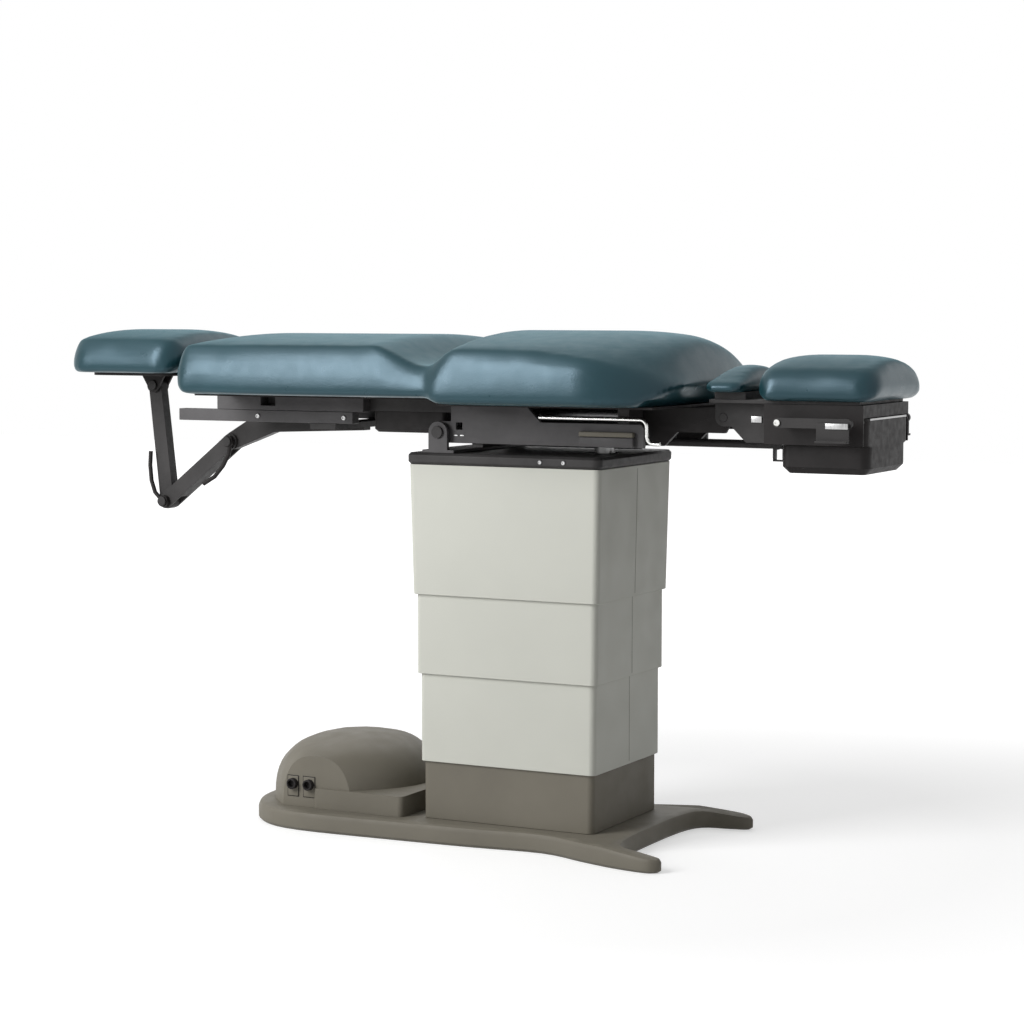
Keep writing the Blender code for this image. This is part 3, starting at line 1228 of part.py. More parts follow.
def pan_housing():
    """The dark housing under the foot pad, with runners for the pan and studs for the stirrups."""
    inside = HOUSING_HALF_Y - HOUSING_WALL
    ledge = inside - RUNNER_WIDTH
    runner_top = PAN_RIM_Z - PAN_RIM_T - SEAT_GAP
    ceiling = HOUSING_TOP - HOUSING_WALL
    half = [(HOUSING_HALF_Y, HOUSING_TOP), (HOUSING_HALF_Y, HOUSING_SKIRT_Z), (inside, HOUSING_SKIRT_Z),
            (inside, runner_top - RUNNER_T), (ledge, runner_top - RUNNER_T), (ledge, runner_top),
            (inside, runner_top), (inside, ceiling)]
    outline = half + [(-y, z) for y, z in reversed(half)]
    housing = solid(prism(outline, "x", HOUSING_HEAD_X, HOUSING_END_X))
    sunk = inside + HOUSING_WALL / 2
    lintel = PAN_RIM_Z + SIDE_GAP
    under = HOUSING_TOP - SIDE_GAP
    fuse(housing,
         box((HOUSING_HEAD_X, -sunk, HOUSING_SKIRT_Z), (HOUSING_HEAD_X + HOUSING_WALL, sunk, under)),
         box((HOUSING_END_X - HOUSING_WALL, -sunk, lintel), (HOUSING_END_X, sunk, under)))
    stud_end = FOOT_HALF_Y + STIRRUP_CLEAR / 2 + STIRRUP_T + SEAT_GAP
    for side in (-1, 1):
        fuse(housing, rod("y", (STIRRUP_X, STIRRUP_Z), side * sunk, side * stud_end, STIRRUP_STUD_R))
    add("pan_housing", "foot", housing, "black_plastic")


def treatment_pan():
    """The pull-out pan: a stepped tray with a rim that rides on the housing's runners."""
    back = HOUSING_HEAD_X + HOUSING_WALL + PAN_BACK_GAP
    middle = ((back + PAN_FRONT_X) / 2, 0)
    half_x = (PAN_FRONT_X - back) / 2
    rim_half = HOUSING_HALF_Y - HOUSING_WALL - SIDE_GAP / 2

    def ring(z, half_y, inset):
        plan = rounded(half_x - inset, half_y - inset, PAN_CORNER - min(inset, PAN_CORNER / 2), middle)
        return [(x, y, z) for x, y in plan]

    step = PAN_UPPER_HALF_Y - PAN_LOWER_HALF_Y
    rim_low = PAN_RIM_Z - PAN_RIM_T
    rings = [
        ring(PAN_BOTTOM, PAN_LOWER_HALF_Y, PAN_CHAMFER),
        ring(PAN_BOTTOM + PAN_CHAMFER, PAN_LOWER_HALF_Y, 0),
        ring(PAN_STEP_Z, PAN_LOWER_HALF_Y, 0),
        ring(PAN_STEP_Z + step / 4, PAN_UPPER_HALF_Y, 0),
        ring(rim_low, PAN_UPPER_HALF_Y, 0),
        ring(rim_low, rim_half, 0),
        ring(PAN_RIM_Z, rim_half, 0),
        ring(PAN_RIM_Z, PAN_UPPER_HALF_Y, PAN_WALL),
        ring(PAN_STEP_Z + step / 4 + PAN_WALL, PAN_UPPER_HALF_Y, PAN_WALL),
        ring(PAN_STEP_Z + PAN_WALL, PAN_LOWER_HALF_Y, PAN_WALL),
        ring(PAN_BOTTOM + PAN_CHAMFER, PAN_LOWER_HALF_Y, PAN_WALL),
        ring(PAN_BOTTOM + PAN_WALL, PAN_LOWER_HALF_Y, PAN_CHAMFER + PAN_WALL),
    ]
    add("treatment_pan", "pan", solid(loft(rings)), "black_plastic")


def stirrups():
    """A swinging arm on each side of the housing, with a heel plate that folds out."""
    pivot = (STIRRUP_X, STIRRUP_Z)
    tip = (STIRRUP_X + STIRRUP_LENGTH, STIRRUP_Z)
    outline = capsule(pivot, tip, STIRRUP_HALF_H, STIRRUP_HALF_H)
    arm_in = FOOT_HALF_Y + STIRRUP_CLEAR / 2
    arm_out = arm_in + STIRRUP_T
    heel_in = arm_out + SEAT_GAP
    heel_top = STIRRUP_Z + HEEL_T / 4
    heel_end = tip[0] + STIRRUP_HALF_H / 2
    for word, side in (("near", -1), ("far", 1)):
        low, high = sorted((side * arm_in, side * arm_out))
        arm = solid(prism(outline, "y", low, high))
        hole = rod("y", pivot, low - 0.01, high + 0.01, STIRRUP_STUD_R + RUN_GAP)
        add("stirrup_arm_" + word, "stirrup_" + word, cut(arm, hole), "frame_paint")

        lip = heel_in + HEEL_T + HEEL_LIP
        profile = [(heel_in, heel_top), (heel_in, heel_top - HEEL_DEPTH), (lip, heel_top - HEEL_DEPTH),
                   (lip, heel_top - HEEL_DEPTH + HEEL_T), (heel_in + HEEL_T, heel_top - HEEL_DEPTH + HEEL_T),
                   (heel_in + HEEL_T, heel_top)]
        plate = prism([(side * y, z) for y, z in profile], "x", heel_end - HEEL_LENGTH, heel_end)
        add("heel_plate_" + word, "heel_" + word, solid(plate), "frame_paint")


def stirrup_bodies():
    """The stirrups' bodies: each arm on its stud, each heel plate on its fold line."""
    heel_y = FOOT_HALF_Y + STIRRUP_CLEAR / 2 + STIRRUP_T + SEAT_GAP + HEEL_T / 2
    for word, side in (("near", -1), ("far", 1)):
        BODIES["stirrup_" + word] = ("foot", (STIRRUP_X, side * heel_y, STIRRUP_Z))
        BODIES["heel_" + word] = ("stirrup_" + word, (STIRRUP_X + STIRRUP_LENGTH, side * heel_y, STIRRUP_Z))


for leftover in list(bpy.data.objects):
    bpy.data.objects.remove(leftover)
stirrup_bodies()
empties = make_bodies()
materials = make_materials()
base_plate()
pump_cover()
column_covers()
lift_ram()
top_plate()
tilt_cylinder()
pads()
seat_frame()
back_section()
headrest()
foot_section()
pan_housing()
treatment_pan()
stirrups()
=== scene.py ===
"""Looks of the powered procedure chair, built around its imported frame.

Metres, +X towards the foot end, +Y away from the camera, +Z up, as in the frame.
"""
import json
import math

import bmesh
import bpy
import numpy as np
from mathutils import Matrix, Vector


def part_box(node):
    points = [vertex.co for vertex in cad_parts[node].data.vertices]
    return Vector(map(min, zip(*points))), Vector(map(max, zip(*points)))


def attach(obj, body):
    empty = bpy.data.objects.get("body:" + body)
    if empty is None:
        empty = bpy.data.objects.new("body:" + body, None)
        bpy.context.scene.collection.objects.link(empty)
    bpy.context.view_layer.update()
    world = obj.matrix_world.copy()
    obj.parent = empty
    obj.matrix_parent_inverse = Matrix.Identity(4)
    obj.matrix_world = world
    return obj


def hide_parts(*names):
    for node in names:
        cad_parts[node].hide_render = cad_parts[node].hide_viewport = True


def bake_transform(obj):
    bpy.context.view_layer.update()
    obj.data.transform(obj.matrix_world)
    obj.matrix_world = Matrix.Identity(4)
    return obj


# Camera, solved from the photograph's perspective, in degrees and millimetres
CAMERA_AT = (2.306, -4.549, 1.058)
CAMERA_TILT = 85.38
CAMERA_TURN = 27.53
CAMERA_LENS = 90.5
SENSOR = 36.0

# Stage
FLOOR_HALF = 12
FLOOR_DROP = 0.0005
FLOOR_GREY = 0.62
FLOOR_ROUGH = 0.9
# The floor's own glow grows with the distance from the chair, so that the floor keeps its shadow
GLOW_REACH = (0.9, 3.2)
GLOW_LEVEL = (0.50, 1.0)
FILL_LEVEL = 0.25  # the world's strength for all but camera, mirror and glass rays

# Finishes
NOISE_RANGE = (0.3, 0.7)  # where most of a noise texture's values lie
TINT_RANGE = (0.32, 0.68)
PAINT_BUMP = 0.35
GLOSS_FINENESS = 7  # the gloss noise's scale against the mottle's
STEEL_SPREAD = 0.10
VINYL_DARK = (0.004, 0.024, 0.029)
VINYL_LIGHT = (0.006, 0.032, 0.039)
VINYL_ROUGH = (0.27, 0.34)
VINYL_WEAR = 0.34  # added to the roughness where the vinyl faces up
WEAR_RANGE = (0.30, 0.90)  # the upward part of the normal over which the wear grows

# Pad covers: remeshing, smoothing and swelling
VOXEL = 0.006
SMOOTH_PAIRS = 4
SMOOTH_STEPS = 6
SMOOTH_IN = 0.5
SMOOTH_OUT = -0.53  # a little more than SMOOTH_IN, so that the pads keep their size
CALM_STEPS = 4  # plain smoothing at the end, against specks
PAD_SHRINK = 0.003  # how much smaller a core is than its pad
PAD_PRESSURE = 4.0
PAD_STIFFNESS = 20.0
PAD_BENDING = 1.0
PAD_FRAMES = 20
SPREAD_STEPS = 40  # rounds in which a vertex shares its swelling with its neighbours
PAD_CAP = 0.006  # the most that a vertex may swell
PAD_PROUD = 0.003  # how far a cover may stand past its solid
BEND_HALF = 0.040  # the length past the hinge over which the cover's width and underside go from the back's to the seat's

# Pad forms: crowns above the ridges, corner radii in plan, nose radii and the seat's falling front
BACK_CROWN = 0.018
BACK_CORNER = 0.030
SEAT_CROWN = 0.032
SEAT_CORNER = 0.165
SEAT_NOSE = 0.050
SEAT_FALL_RUN = 0.332
SEAT_FALL = 0.052
SEAT_TOP_RUN = 0.200
SEAT_TOP_FALL = 0.022
SEAT_RISE_RUN = 0.062
SEAT_RISE = 0.028
REST_CROWN = 0.018
REST_CORNER = 0.052
CALF_CROWN = 0.022
CALF_CORNER = 0.024
FOOT_CROWN = 0.024
FOOT_CORNER = 0.040
PAD_NOSE = 0.028
CREASE_LIP = 0.012
CREASE_BACK_REACH = 0.125
CREASE_SEAT_REACH = 0.070

# Pad sections and rings
HEM_ROUND = 0.007
HEM_OF_HALF = 0.4
HEM_OF_SIDE = 0.3
HEM_STEPS = 3
FLANK_LEAN = 0.040
LEAN_OF_HALF = 0.5
FLANK_STEPS = 8
RIDGE_TURN = math.radians(70)
TOP_STEPS = 10
CROWN_REACH = 0.090
CROWN_OF_LENGTH = 0.45
NOSE_LEVEL = 0.45  # the height of an end's tip as a share of the flank
NOSE_POWER = 0.8
RING_STEP = 0.008
END_RINGS = 12
END_STEPS = (0.0005, 0.003)
TIP = 0.0001

# Rigid pieces
PROUD = 0.0004  # how far applied details stand off the face that carries them
EDGE_ROUND = 0.0012
EDGE_SEGMENTS = 3
EDGE_ANGLE = math.radians(38)
SHARP_ANGLE = math.radians(40)
WELD = 0.00002
TURNED_SIDES = 28
ON_AXIS = 1e-9

# Column and sockets
SEAM_Y = 0.006
SEAM_T = 0.00012  # thin enough to pass the catch lip of the cover outside it
SEAM_W = 0.0016
SEAM_END = 0.006
WALL_REACH = 0.003
BOLT_X = (0.085, 0.135)
BOLT_R = 0.004
SOCKET_X = {"power_inlet": (-0.494, -0.467), "control_socket": (-0.457, -0.428)}
SOCKET_Z = (0.0600, 0.1035)
SOCKET_RIM = 0.0015
# The black sheet under each socket's panel shows as a rim of painted shadow in the gap round the panel
SOCKET_SHADOW_RIM_T = 0.0006
SOCKET_PANEL_Y = (0.0014, 0.0002)  # the panel's front and back, before the pump cover's face
# Shares of a socket's radius, and heights, round the section of its bezel
BEZEL = ((0.68, 0), (1.0, 0), (1.0, 0.001), (0.9, 0.002), (0.72, 0.002), (0.68, 0.0008))
SCREW_TALL = 0.55  # the height of a screw's head against its radius
# Shares of the radius and of the height along the section of a screw's head
SCREW = ((0, 0), (1, 0), (1, 0.7), (0.82, 1), (0.5, 1), (0.45, 0.35), (0, 0.35))

# Seat and headrest details: line block and rail screws are measured from the ends of what carries them
LINE_BLOCK_X = (0.131, 0.018)
LINE_BLOCK_Z = (0.001, 0.020)
LINE_BLOCK_T = 0.010
LINE_CAP_Z = (0.0206, 0.030)
LINE_CAP_T = 0.011
LINE_EDGE = 0.002
SLOT_X = (-0.108, -0.094)
SLOT_HALF = 0.0045
SLOT_Z = (0.8015, 0.8040)
SLOT_T = 0.0012
RAIL_SCREW_HEAD = 0.195
RAIL_SCREW_FOOT = 0.020
RAIL_SCREW_R = 0.0048

# Foot section details
FOOT_ARM_FACE = 0.094  # the outer face of the foot frame's arms, from the middle
TRIM_T = 0.002
TRIM_EDGE = 0.0006
LATCH_X = (0.075, 0.096)
LATCH_Z = (0.838, 0.850)
STUD_R = 0.0062
HEEL_FACE = 4 / 14  # the heel plate's thickness as a share of its depth with the lip
HEEL_HINGE_X = (0.044, 0.001)
HEEL_HINGE_H = 0.0105
STRIP_X = (0.0001, 0.0013)
STRIP_HALF = 0.100
STRIP_H = 0.0036

SIDES = (("near", -1), ("far", 1))

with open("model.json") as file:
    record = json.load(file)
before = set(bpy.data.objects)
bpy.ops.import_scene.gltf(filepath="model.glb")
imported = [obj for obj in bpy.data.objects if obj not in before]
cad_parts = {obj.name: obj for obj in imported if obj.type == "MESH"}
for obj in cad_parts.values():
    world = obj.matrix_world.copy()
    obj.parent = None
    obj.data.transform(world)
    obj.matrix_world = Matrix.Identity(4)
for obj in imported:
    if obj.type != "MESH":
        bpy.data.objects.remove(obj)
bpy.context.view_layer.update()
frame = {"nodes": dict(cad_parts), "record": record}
nodes = frame["nodes"]
scene = bpy.context.scene


# Materials

def node_tree(name):
    """A new material, its nodes, its links and its shader."""
    material = bpy.data.materials.new(name)
    material.use_nodes = True
    tree = material.node_tree
    return material, tree.nodes, tree.links, tree.nodes["Principled BSDF"]


def preset(node, values):
    """Set a node's sockets by name."""
    for name, value in values.items():
        node.inputs[name].default_value = value


def noise(tree_nodes, links, scale, detail=4.0, stretch=None):
    """A noise texture in metres of the piece's own frame."""
    place = tree_nodes.new("ShaderNodeTexCoord")
    texture = tree_nodes.new("ShaderNodeTexNoise")
    preset(texture, {"Scale": scale, "Detail": detail})
    vector = place.outputs["Object"]
    if stretch:
        mapping = tree_nodes.new("ShaderNodeMapping")
        mapping.inputs["Scale"].default_value = stretch
        links.new(vector, mapping.inputs["Vector"])
        vector = mapping.outputs["Vector"]
    links.new(vector, texture.inputs["Vector"])
    return texture.outputs["Fac"]


def mapped(tree_nodes, links, value, source, target, blend="LINEAR"):
    """A value taken from one range to another."""
    node = tree_nodes.new("ShaderNodeMapRange")
    node.interpolation_type = blend
    preset(node, {"From Min": source[0], "From Max": source[1], "To Min": target[0], "To Max": target[1]})
    links.new(value, node.inputs["Value"])
    return node.outputs["Result"]


def combined(tree_nodes, links, operation, first, second):
    """Two values joined by a math operation."""
    node = tree_nodes.new("ShaderNodeMath")
    node.operation = operation
    links.new(first, node.inputs[0])
    links.new(second, node.inputs[1])
    return node.outputs["Value"]


def tint(tree_nodes, links, value, dark, light):
    """A colour between two shades, by a noise value."""
    ramp = tree_nodes.new("ShaderNodeValToRGB")
    for stop, position, shade in zip(ramp.color_ramp.elements, TINT_RANGE, (dark, light)):
        stop.position = position
        stop.color = (*shade, 1)
    links.new(value, ramp.inputs["Fac"])
    return ramp.outputs["Color"]


def shades(colour, spread):
    """A colour a little darker and a little lighter."""
    return [c * (1 - spread) for c in colour], [min(c * (1 + spread), 1) for c in colour]


def raise_grain(tree_nodes, links, height, shader, strength, distance):
    """Surface grain from a height value."""
    bump = tree_nodes.new("ShaderNodeBump")
    preset(bump, {"Strength": strength, "Distance": distance})
    links.new(height, bump.inputs["Height"])
    links.new(bump.outputs["Normal"], shader.inputs["Normal"])


def painted(name, colour, spread, rough, gloss_level, mottle, grain, grain_height):
    """Powder paint or moulded plastic: a faint mottle, uneven gloss and a fine orange-peel grain."""
    material, tree_nodes, links, shader = node_tree(name)
    shader.inputs["Specular IOR Level"].default_value = gloss_level
    dark, light = shades(colour, spread)
    patch = noise(tree_nodes, links, mottle)
    links.new(tint(tree_nodes, links, patch, dark, light), shader.inputs["Base Color"])
    gloss = noise(tree_nodes, links, mottle * GLOSS_FINENESS)
    links.new(mapped(tree_nodes, links, gloss, NOISE_RANGE, rough), shader.inputs["Roughness"])
    peel = noise(tree_nodes, links, grain, detail=2.0)
    raise_grain(tree_nodes, links, peel, shader, PAINT_BUMP, grain_height)
    return material


def vinyl():
    """Upholstery vinyl: a pebbled grain, slow changes of tone, glossier sides and a duller, worn top."""
    material, tree_nodes, links, shader = node_tree("teal_vinyl")
    preset(shader, {"Specular IOR Level": 0.58, "Specular Tint": (0.60, 0.83, 1.0, 1), "Sheen Weight": 0.20,
                    "Sheen Roughness": 0.40, "Sheen Tint": (0.25, 0.74, 0.90, 1)})
    patch = noise(tree_nodes, links, scale=5.0, detail=3.0)
    links.new(tint(tree_nodes, links, patch, VINYL_DARK, VINYL_LIGHT), shader.inputs["Base Color"])
    place = tree_nodes.new("ShaderNodeTexCoord")
    facing_up = tree_nodes.new("ShaderNodeSeparateXYZ")
    links.new(place.outputs["Normal"], facing_up.inputs["Vector"])
    worn = mapped(tree_nodes, links, facing_up.outputs["Z"], WEAR_RANGE, (0.0, VINYL_WEAR), "SMOOTHSTEP")
    gloss = mapped(tree_nodes, links, noise(tree_nodes, links, scale=38.0), NOISE_RANGE, VINYL_ROUGH)
    links.new(combined(tree_nodes, links, "ADD", worn, gloss), shader.inputs["Roughness"])
    pebble = tree_nodes.new("ShaderNodeTexVoronoi")
    pebble.feature = "SMOOTH_F1"
    pebble.inputs["Scale"].default_value = 620.0
    links.new(place.outputs["Object"], pebble.inputs["Vector"])
    crumple = noise(tree_nodes, links, scale=150.0, detail=5.0)
    height = combined(tree_nodes, links, "ADD", pebble.outputs["Distance"], crumple)
    raise_grain(tree_nodes, links, height, shader, strength=0.28, distance=0.0004)
    return material


def steel(name, colour, rough, stretch):
    """Bare or plated metal with fine drawn lines."""
    material, tree_nodes, links, shader = node_tree(name)
    shader.inputs["Metallic"].default_value = 1.0
    dark, light = shades(colour, STEEL_SPREAD)
    lines = noise(tree_nodes, links, scale=60.0, detail=3.0, stretch=stretch)
    links.new(tint(tree_nodes, links, lines, dark, light), shader.inputs["Base Color"])
    links.new(mapped(tree_nodes, links, lines, NOISE_RANGE, rough), shader.inputs["Roughness"])
    raise_grain(tree_nodes, links, lines, shader, strength=0.08, distance=0.0002)
    return material


FINISHES = {
    "base_paint": painted("olive_grey_paint", (0.160, 0.147, 0.118), spread=0.10, rough=(0.50, 0.64),
                          gloss_level=0.30, mottle=4.0, grain=900.0, grain_height=0.0003),
    "cover_plastic": painted("warm_white_plastic", (0.560, 0.565, 0.510), spread=0.035, rough=(0.44, 0.56),
                             gloss_level=0.40, mottle=3.0, grain=1100.0, grain_height=0.0002),
    "frame_paint": painted("black_frame_paint", (0.042, 0.040, 0.040), spread=0.22, rough=(0.42, 0.58),
                           gloss_level=0.22, mottle=14.0, grain=1000.0, grain_height=0.0002),
    "black_plastic": painted("black_plastic", (0.018, 0.016, 0.016), spread=0.25, rough=(0.42, 0.58),
                             gloss_level=0.18, mottle=11.0, grain=1300.0, grain_height=0.0002),
    "grey_paint": painted("dark_grey_paint", (0.082, 0.079, 0.081), spread=0.16, rough=(0.42, 0.56),
                          gloss_level=0.25, mottle=12.0, grain=1000.0, grain_height=0.0002),
    "vinyl": vinyl(),
    "bright_steel": steel("bright_steel", (0.74, 0.74, 0.72), rough=(0.16, 0.30), stretch=(1, 9, 9)),
    "ram_steel": steel("drawn_steel", (0.42, 0.42, 0.42), rough=(0.26, 0.42), stretch=(9, 9, 1)),
}


# Helpers for pieces

def dress(piece, body, slot, finish=None):
    """Give a piece its finish, named or its slot's, and the body that it moves with."""
    piece.data.materials.clear()
    piece.data.materials.append(FINISHES[finish or slot])
    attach(piece, body)
    return piece


def piece_from(name, work):
    """An object from a bmesh, shaded smooth with its sharp edges kept."""
    bmesh.ops.recalc_face_normals(work, faces=work.faces)
    mesh = bpy.data.meshes.new(name)
    work.to_mesh(mesh)
    work.free()
    mesh.shade_smooth()
    mesh.set_sharp_from_angle(angle=SHARP_ANGLE)
    piece = bpy.data.objects.new(name, mesh)
    scene.collection.objects.link(piece)
    return piece


def turned(profile):
    """A form turned about Z from (radius, height) points, closed where it meets the axis or its own start."""
    work = bmesh.new()
    rings = []
    for radius, height in profile:
        if radius < ON_AXIS:
            rings.append([work.verts.new((0, 0, height))])
            continue
        ring = []
        for k in range(TURNED_SIDES):
            angle = 2 * math.pi * k / TURNED_SIDES
            ring.append(work.verts.new((radius * math.cos(angle), radius * math.sin(angle), height)))
        rings.append(ring)
    for low, high in zip(rings, rings[1:]):
        for k in range(TURNED_SIDES):
            after = (k + 1) % TURNED_SIDES
            corners = [low[k % len(low)], low[after % len(low)], high[after % len(high)], high[k % len(high)]]
            work.faces.new(list(dict.fromkeys(corners)))
    return work


def rounded_block(size, edge):
    """A block about the origin with its edges rounded."""
    work = bmesh.new()
    bmesh.ops.create_cube(work, size=1)
    bmesh.ops.scale(work, vec=size, verts=work.verts)
    bmesh.ops.bevel(work, geom=work.edges, offset=edge, segments=EDGE_SEGMENTS, profile=0.5, affect="EDGES")
    return work


def block(name, low, high, body, slot, edge):
    """A rounded block between two corners."""
    low = Vector(low)
    high = Vector(high)
    work = rounded_block(high - low, edge)
    bmesh.ops.translate(work, vec=(low + high) / 2, verts=work.verts)
    return dress(piece_from(name, work), body, slot)


def facing(normal):
    """The turn that takes +Z to a direction."""
    return Vector((0, 0, 1)).rotation_difference(Vector(normal)).to_matrix().to_4x4()


def screw(name, at, normal, radius, body, slot):
    """A cap screw's head with its socket, seated on a face."""
    tall = radius * SCREW_TALL
    work = turned([(radius * across, tall * up) for across, up in SCREW])
    place = Matrix.Translation(Vector(at) + Vector(normal) * PROUD) @ facing(normal)
    bmesh.ops.transform(work, matrix=place, verts=work.verts)
    return dress(piece_from(name, work), body, slot)


# CAD nodes that stay in view

def finish_nodes():
    """Every node gets its slot's finish, and rigid ones get rounded edges."""
    slots = {entry["node"]: entry["material_slot"] for entry in frame["record"]["subparts"]}
    for name, node in nodes.items():
        node.data.materials.clear()
        node.data.materials.append(FINISHES[slots[name]])
        if slots[name] == "vinyl":
            continue
        for layer in ("custom_normal", "sharp_edge"):
            if layer in node.data.attributes:
                node.data.attributes.remove(node.data.attributes[layer])
        node.data.shade_smooth()
        weld = node.modifiers.new("Weld", "WELD")
        weld.merge_threshold = WELD
        bevel = node.modifiers.new("Bevel", "BEVEL")
        bevel.width = EDGE_ROUND
        bevel.segments = EDGE_SEGMENTS
        bevel.limit_method = "ANGLE"
        bevel.angle_limit = EDGE_ANGLE
        node.modifiers.new("Normals", "WEIGHTED_NORMAL")


# Pads

def evaluated_mesh(piece):
    """The piece's mesh with its modifiers applied."""
    bpy.context.view_layer.update()
    graph = bpy.context.evaluated_depsgraph_get()
    return bpy.data.meshes.new_from_object(piece.evaluated_get(graph))


def swap_mesh(piece, mesh):
    """Replace a piece's mesh and drop its modifiers."""
    piece.modifiers.clear()
    piece.data = mesh


def inflate(piece):
    """Swell a remeshed pad with pressure, the vinyl holding its area."""
    cloth = piece.modifiers.new("Cloth", "CLOTH")
    settings = cloth.settings
    settings.use_pressure = True
    settings.uniform_pressure_force = PAD_PRESSURE
    settings.tension_stiffness = PAD_STIFFNESS
    settings.compression_stiffness = PAD_STIFFNESS
    settings.bending_stiffness = PAD_BENDING
    settings.effector_weights.gravity = 0
    cloth.point_cache.frame_start = 1
    cloth.point_cache.frame_end = PAD_FRAMES
    for step in range(1, PAD_FRAMES + 1):
        scene.frame_set(step)
    swollen = evaluated_mesh(piece)
    scene.frame_set(1)
    return swollen


def places_of(mesh):
    """A mesh's vertices as rows."""
    flat = np.empty(len(mesh.vertices) * 3)
    mesh.vertices.foreach_get("co", flat)
    return flat.reshape(-1, 3)


def settle(mesh, start):
    """Spread the swelling evenly over a cover, without buckles, and hold it to a cap."""
    ends = np.empty(len(mesh.edges) * 2, dtype=np.int32)
    mesh.edges.foreach_get("vertices", ends)
    first, second = ends.reshape(-1, 2).T
    count = len(start)
    degree = np.bincount(ends, minlength=count)
    moved = places_of(mesh) - start
    for step in range(SPREAD_STEPS):
        for axis in range(3):
            along = moved[:, axis]
            near = np.bincount(first, along[second], count) + np.bincount(second, along[first], count)
            moved[:, axis] = (along + near / degree) / 2
    length = np.linalg.norm(moved, axis=1)
    moved *= (PAD_CAP / np.maximum(length, PAD_CAP))[:, None]
    mesh.vertices.foreach_set("co", (start + moved).ravel())
    mesh.update()


def ease(share):
    """0 to 1, with a soft start and end."""
    share = min(max(share, 0), 1)
    return share * share * (3 - 2 * share)


def swell(distance, radius):
    """How far a round end has filled out at a distance from its tip."""
    return math.sqrt(max(1 - (1 - distance / radius) ** 2, 0)) if distance < radius else 1.0


def pad_section(half, bottom, side, crown):
    """Half a section from the hem up: a flank that leans in to the ridge, and the crowned top."""
    hem = min(HEM_ROUND, half * HEM_OF_HALF, (side - bottom) * HEM_OF_SIDE)
    lean = min(FLANK_LEAN, half * LEAN_OF_HALF)
    points = []
    for i in range(HEM_STEPS + 1):
        angle = math.radians(90 * i / HEM_STEPS)
        points.append((half - hem + hem * math.sin(angle), bottom + hem - hem * math.cos(angle)))
    rise = (side - bottom - hem) / math.sin(RIDGE_TURN)
    for i in range(1, FLANK_STEPS + 1):
        angle = RIDGE_TURN * i / FLANK_STEPS
        points.append((half - lean * (1 - math.cos(angle)), bottom + hem + rise * math.sin(angle)))
    ridge = points[-1][0]
    for i in range(1, TOP_STEPS):
        share = 1 - i / TOP_STEPS
        points.append((ridge * share, side + crown * (1 - share ** 2)))
    return points


def ring_places(head, foot):
    """Where a pad's rings stand: in even steps, and closer together near both ends."""
    length = foot - head
    count = round(length / RING_STEP)
    turns = [math.pi * i / END_RINGS for i in range(END_RINGS + 1)]
    places = [(head + foot) / 2 - length / 2 * math.cos(turn) for turn in turns]
    places += [head + length * i / count for i in range(1, count)]
    places += [head + step for step in END_STEPS]
    places += [foot - step for step in END_STEPS]
    return sorted(set(places))


def pad_core(head, foot, form, head_shape, foot_shape):
    """A pad lofted from head to foot, drawn in by what the swelling adds.

    Form gives half width, underside, ridge height and crown at x. A shape is an end's corner radius in plan
    and its nose radius.
    """
    head_corner, head_nose = head_shape
    foot_corner, foot_nose = foot_shape
    head += PAD_SHRINK
    foot -= PAD_SHRINK
    reach = min(CROWN_REACH, CROWN_OF_LENGTH * (foot - head))
    work = bmesh.new()
    rings = []
    for x in ring_places(head, foot):
        from_head = max(x - head, TIP)
        from_foot = max(foot - x, TIP)
        nose = min(swell(from_head, head_nose), swell(from_foot, foot_nose)) ** NOSE_POWER
        half, bottom, side, crown = form(x)
        half -= PAD_SHRINK
        half -= head_corner * (1 - swell(from_head, head_corner))
        half -= foot_corner * (1 - swell(from_foot, foot_corner))
        crown *= min(swell(from_head, reach), swell(from_foot, reach))
        middle = bottom + NOSE_LEVEL * (side - bottom)
        low = middle + (bottom - middle) * nose
        high = middle + (side - middle) * nose - PAD_SHRINK * nose
        points = pad_section(half, low, high, crown * nose)
        across = points + [(0, high + crown * nose)] + [(-y, z) for y, z in reversed(points)]
        rings.append([work.verts.new((x, y, z)) for y, z in across])
    for ring, after in zip(rings, rings[1:]):
        for k in range(len(ring)):
            follow = (k + 1) % len(ring)
            work.faces.new((ring[k], ring[follow], after[follow], after[k]))
    work.faces.new(rings[0])
    work.faces.new(rings[-1])
    return work


def add_smooth(piece, factor, steps):
    """One smoothing modifier."""
    smooth = piece.modifiers.new("Smooth", "SMOOTH")
    smooth.factor = factor
    smooth.iterations = steps


def upholster(name, work):
    """One remeshed, evened and swollen cover from a pad core."""
    piece = piece_from(name, work)
    remesh = piece.modifiers.new("Remesh", "REMESH")
    remesh.mode = "VOXEL"
    remesh.voxel_size = VOXEL
    for pair in range(SMOOTH_PAIRS):
        add_smooth(piece, SMOOTH_IN, SMOOTH_STEPS)
        add_smooth(piece, SMOOTH_OUT, SMOOTH_STEPS)
    swap_mesh(piece, evaluated_mesh(piece))
    start = places_of(piece.data)
    swap_mesh(piece, inflate(piece))
    settle(piece.data, start)
    add_smooth(piece, SMOOTH_IN, CALM_STEPS)
    swap_mesh(piece, evaluated_mesh(piece))
    return piece


def close_in(piece, floor_of, low, high):
    """Keep a cover within a little of its solids' box, and off what carries it."""
    for vertex in piece.data.vertices:
        vertex.co.x = min(max(vertex.co.x, low.x - PAD_PROUD), high.x + PAD_PROUD)
        vertex.co.y = min(max(vertex.co.y, low.y - PAD_PROUD), high.y + PAD_PROUD)
        vertex.co.z = max(vertex.co.z, floor_of(vertex.co.x))
    piece.data.shade_smooth()
    subdivision = piece.modifiers.new("Subdivision", "SUBSURF")
    subdivision.levels = 1
    subdivision.render_levels = 1


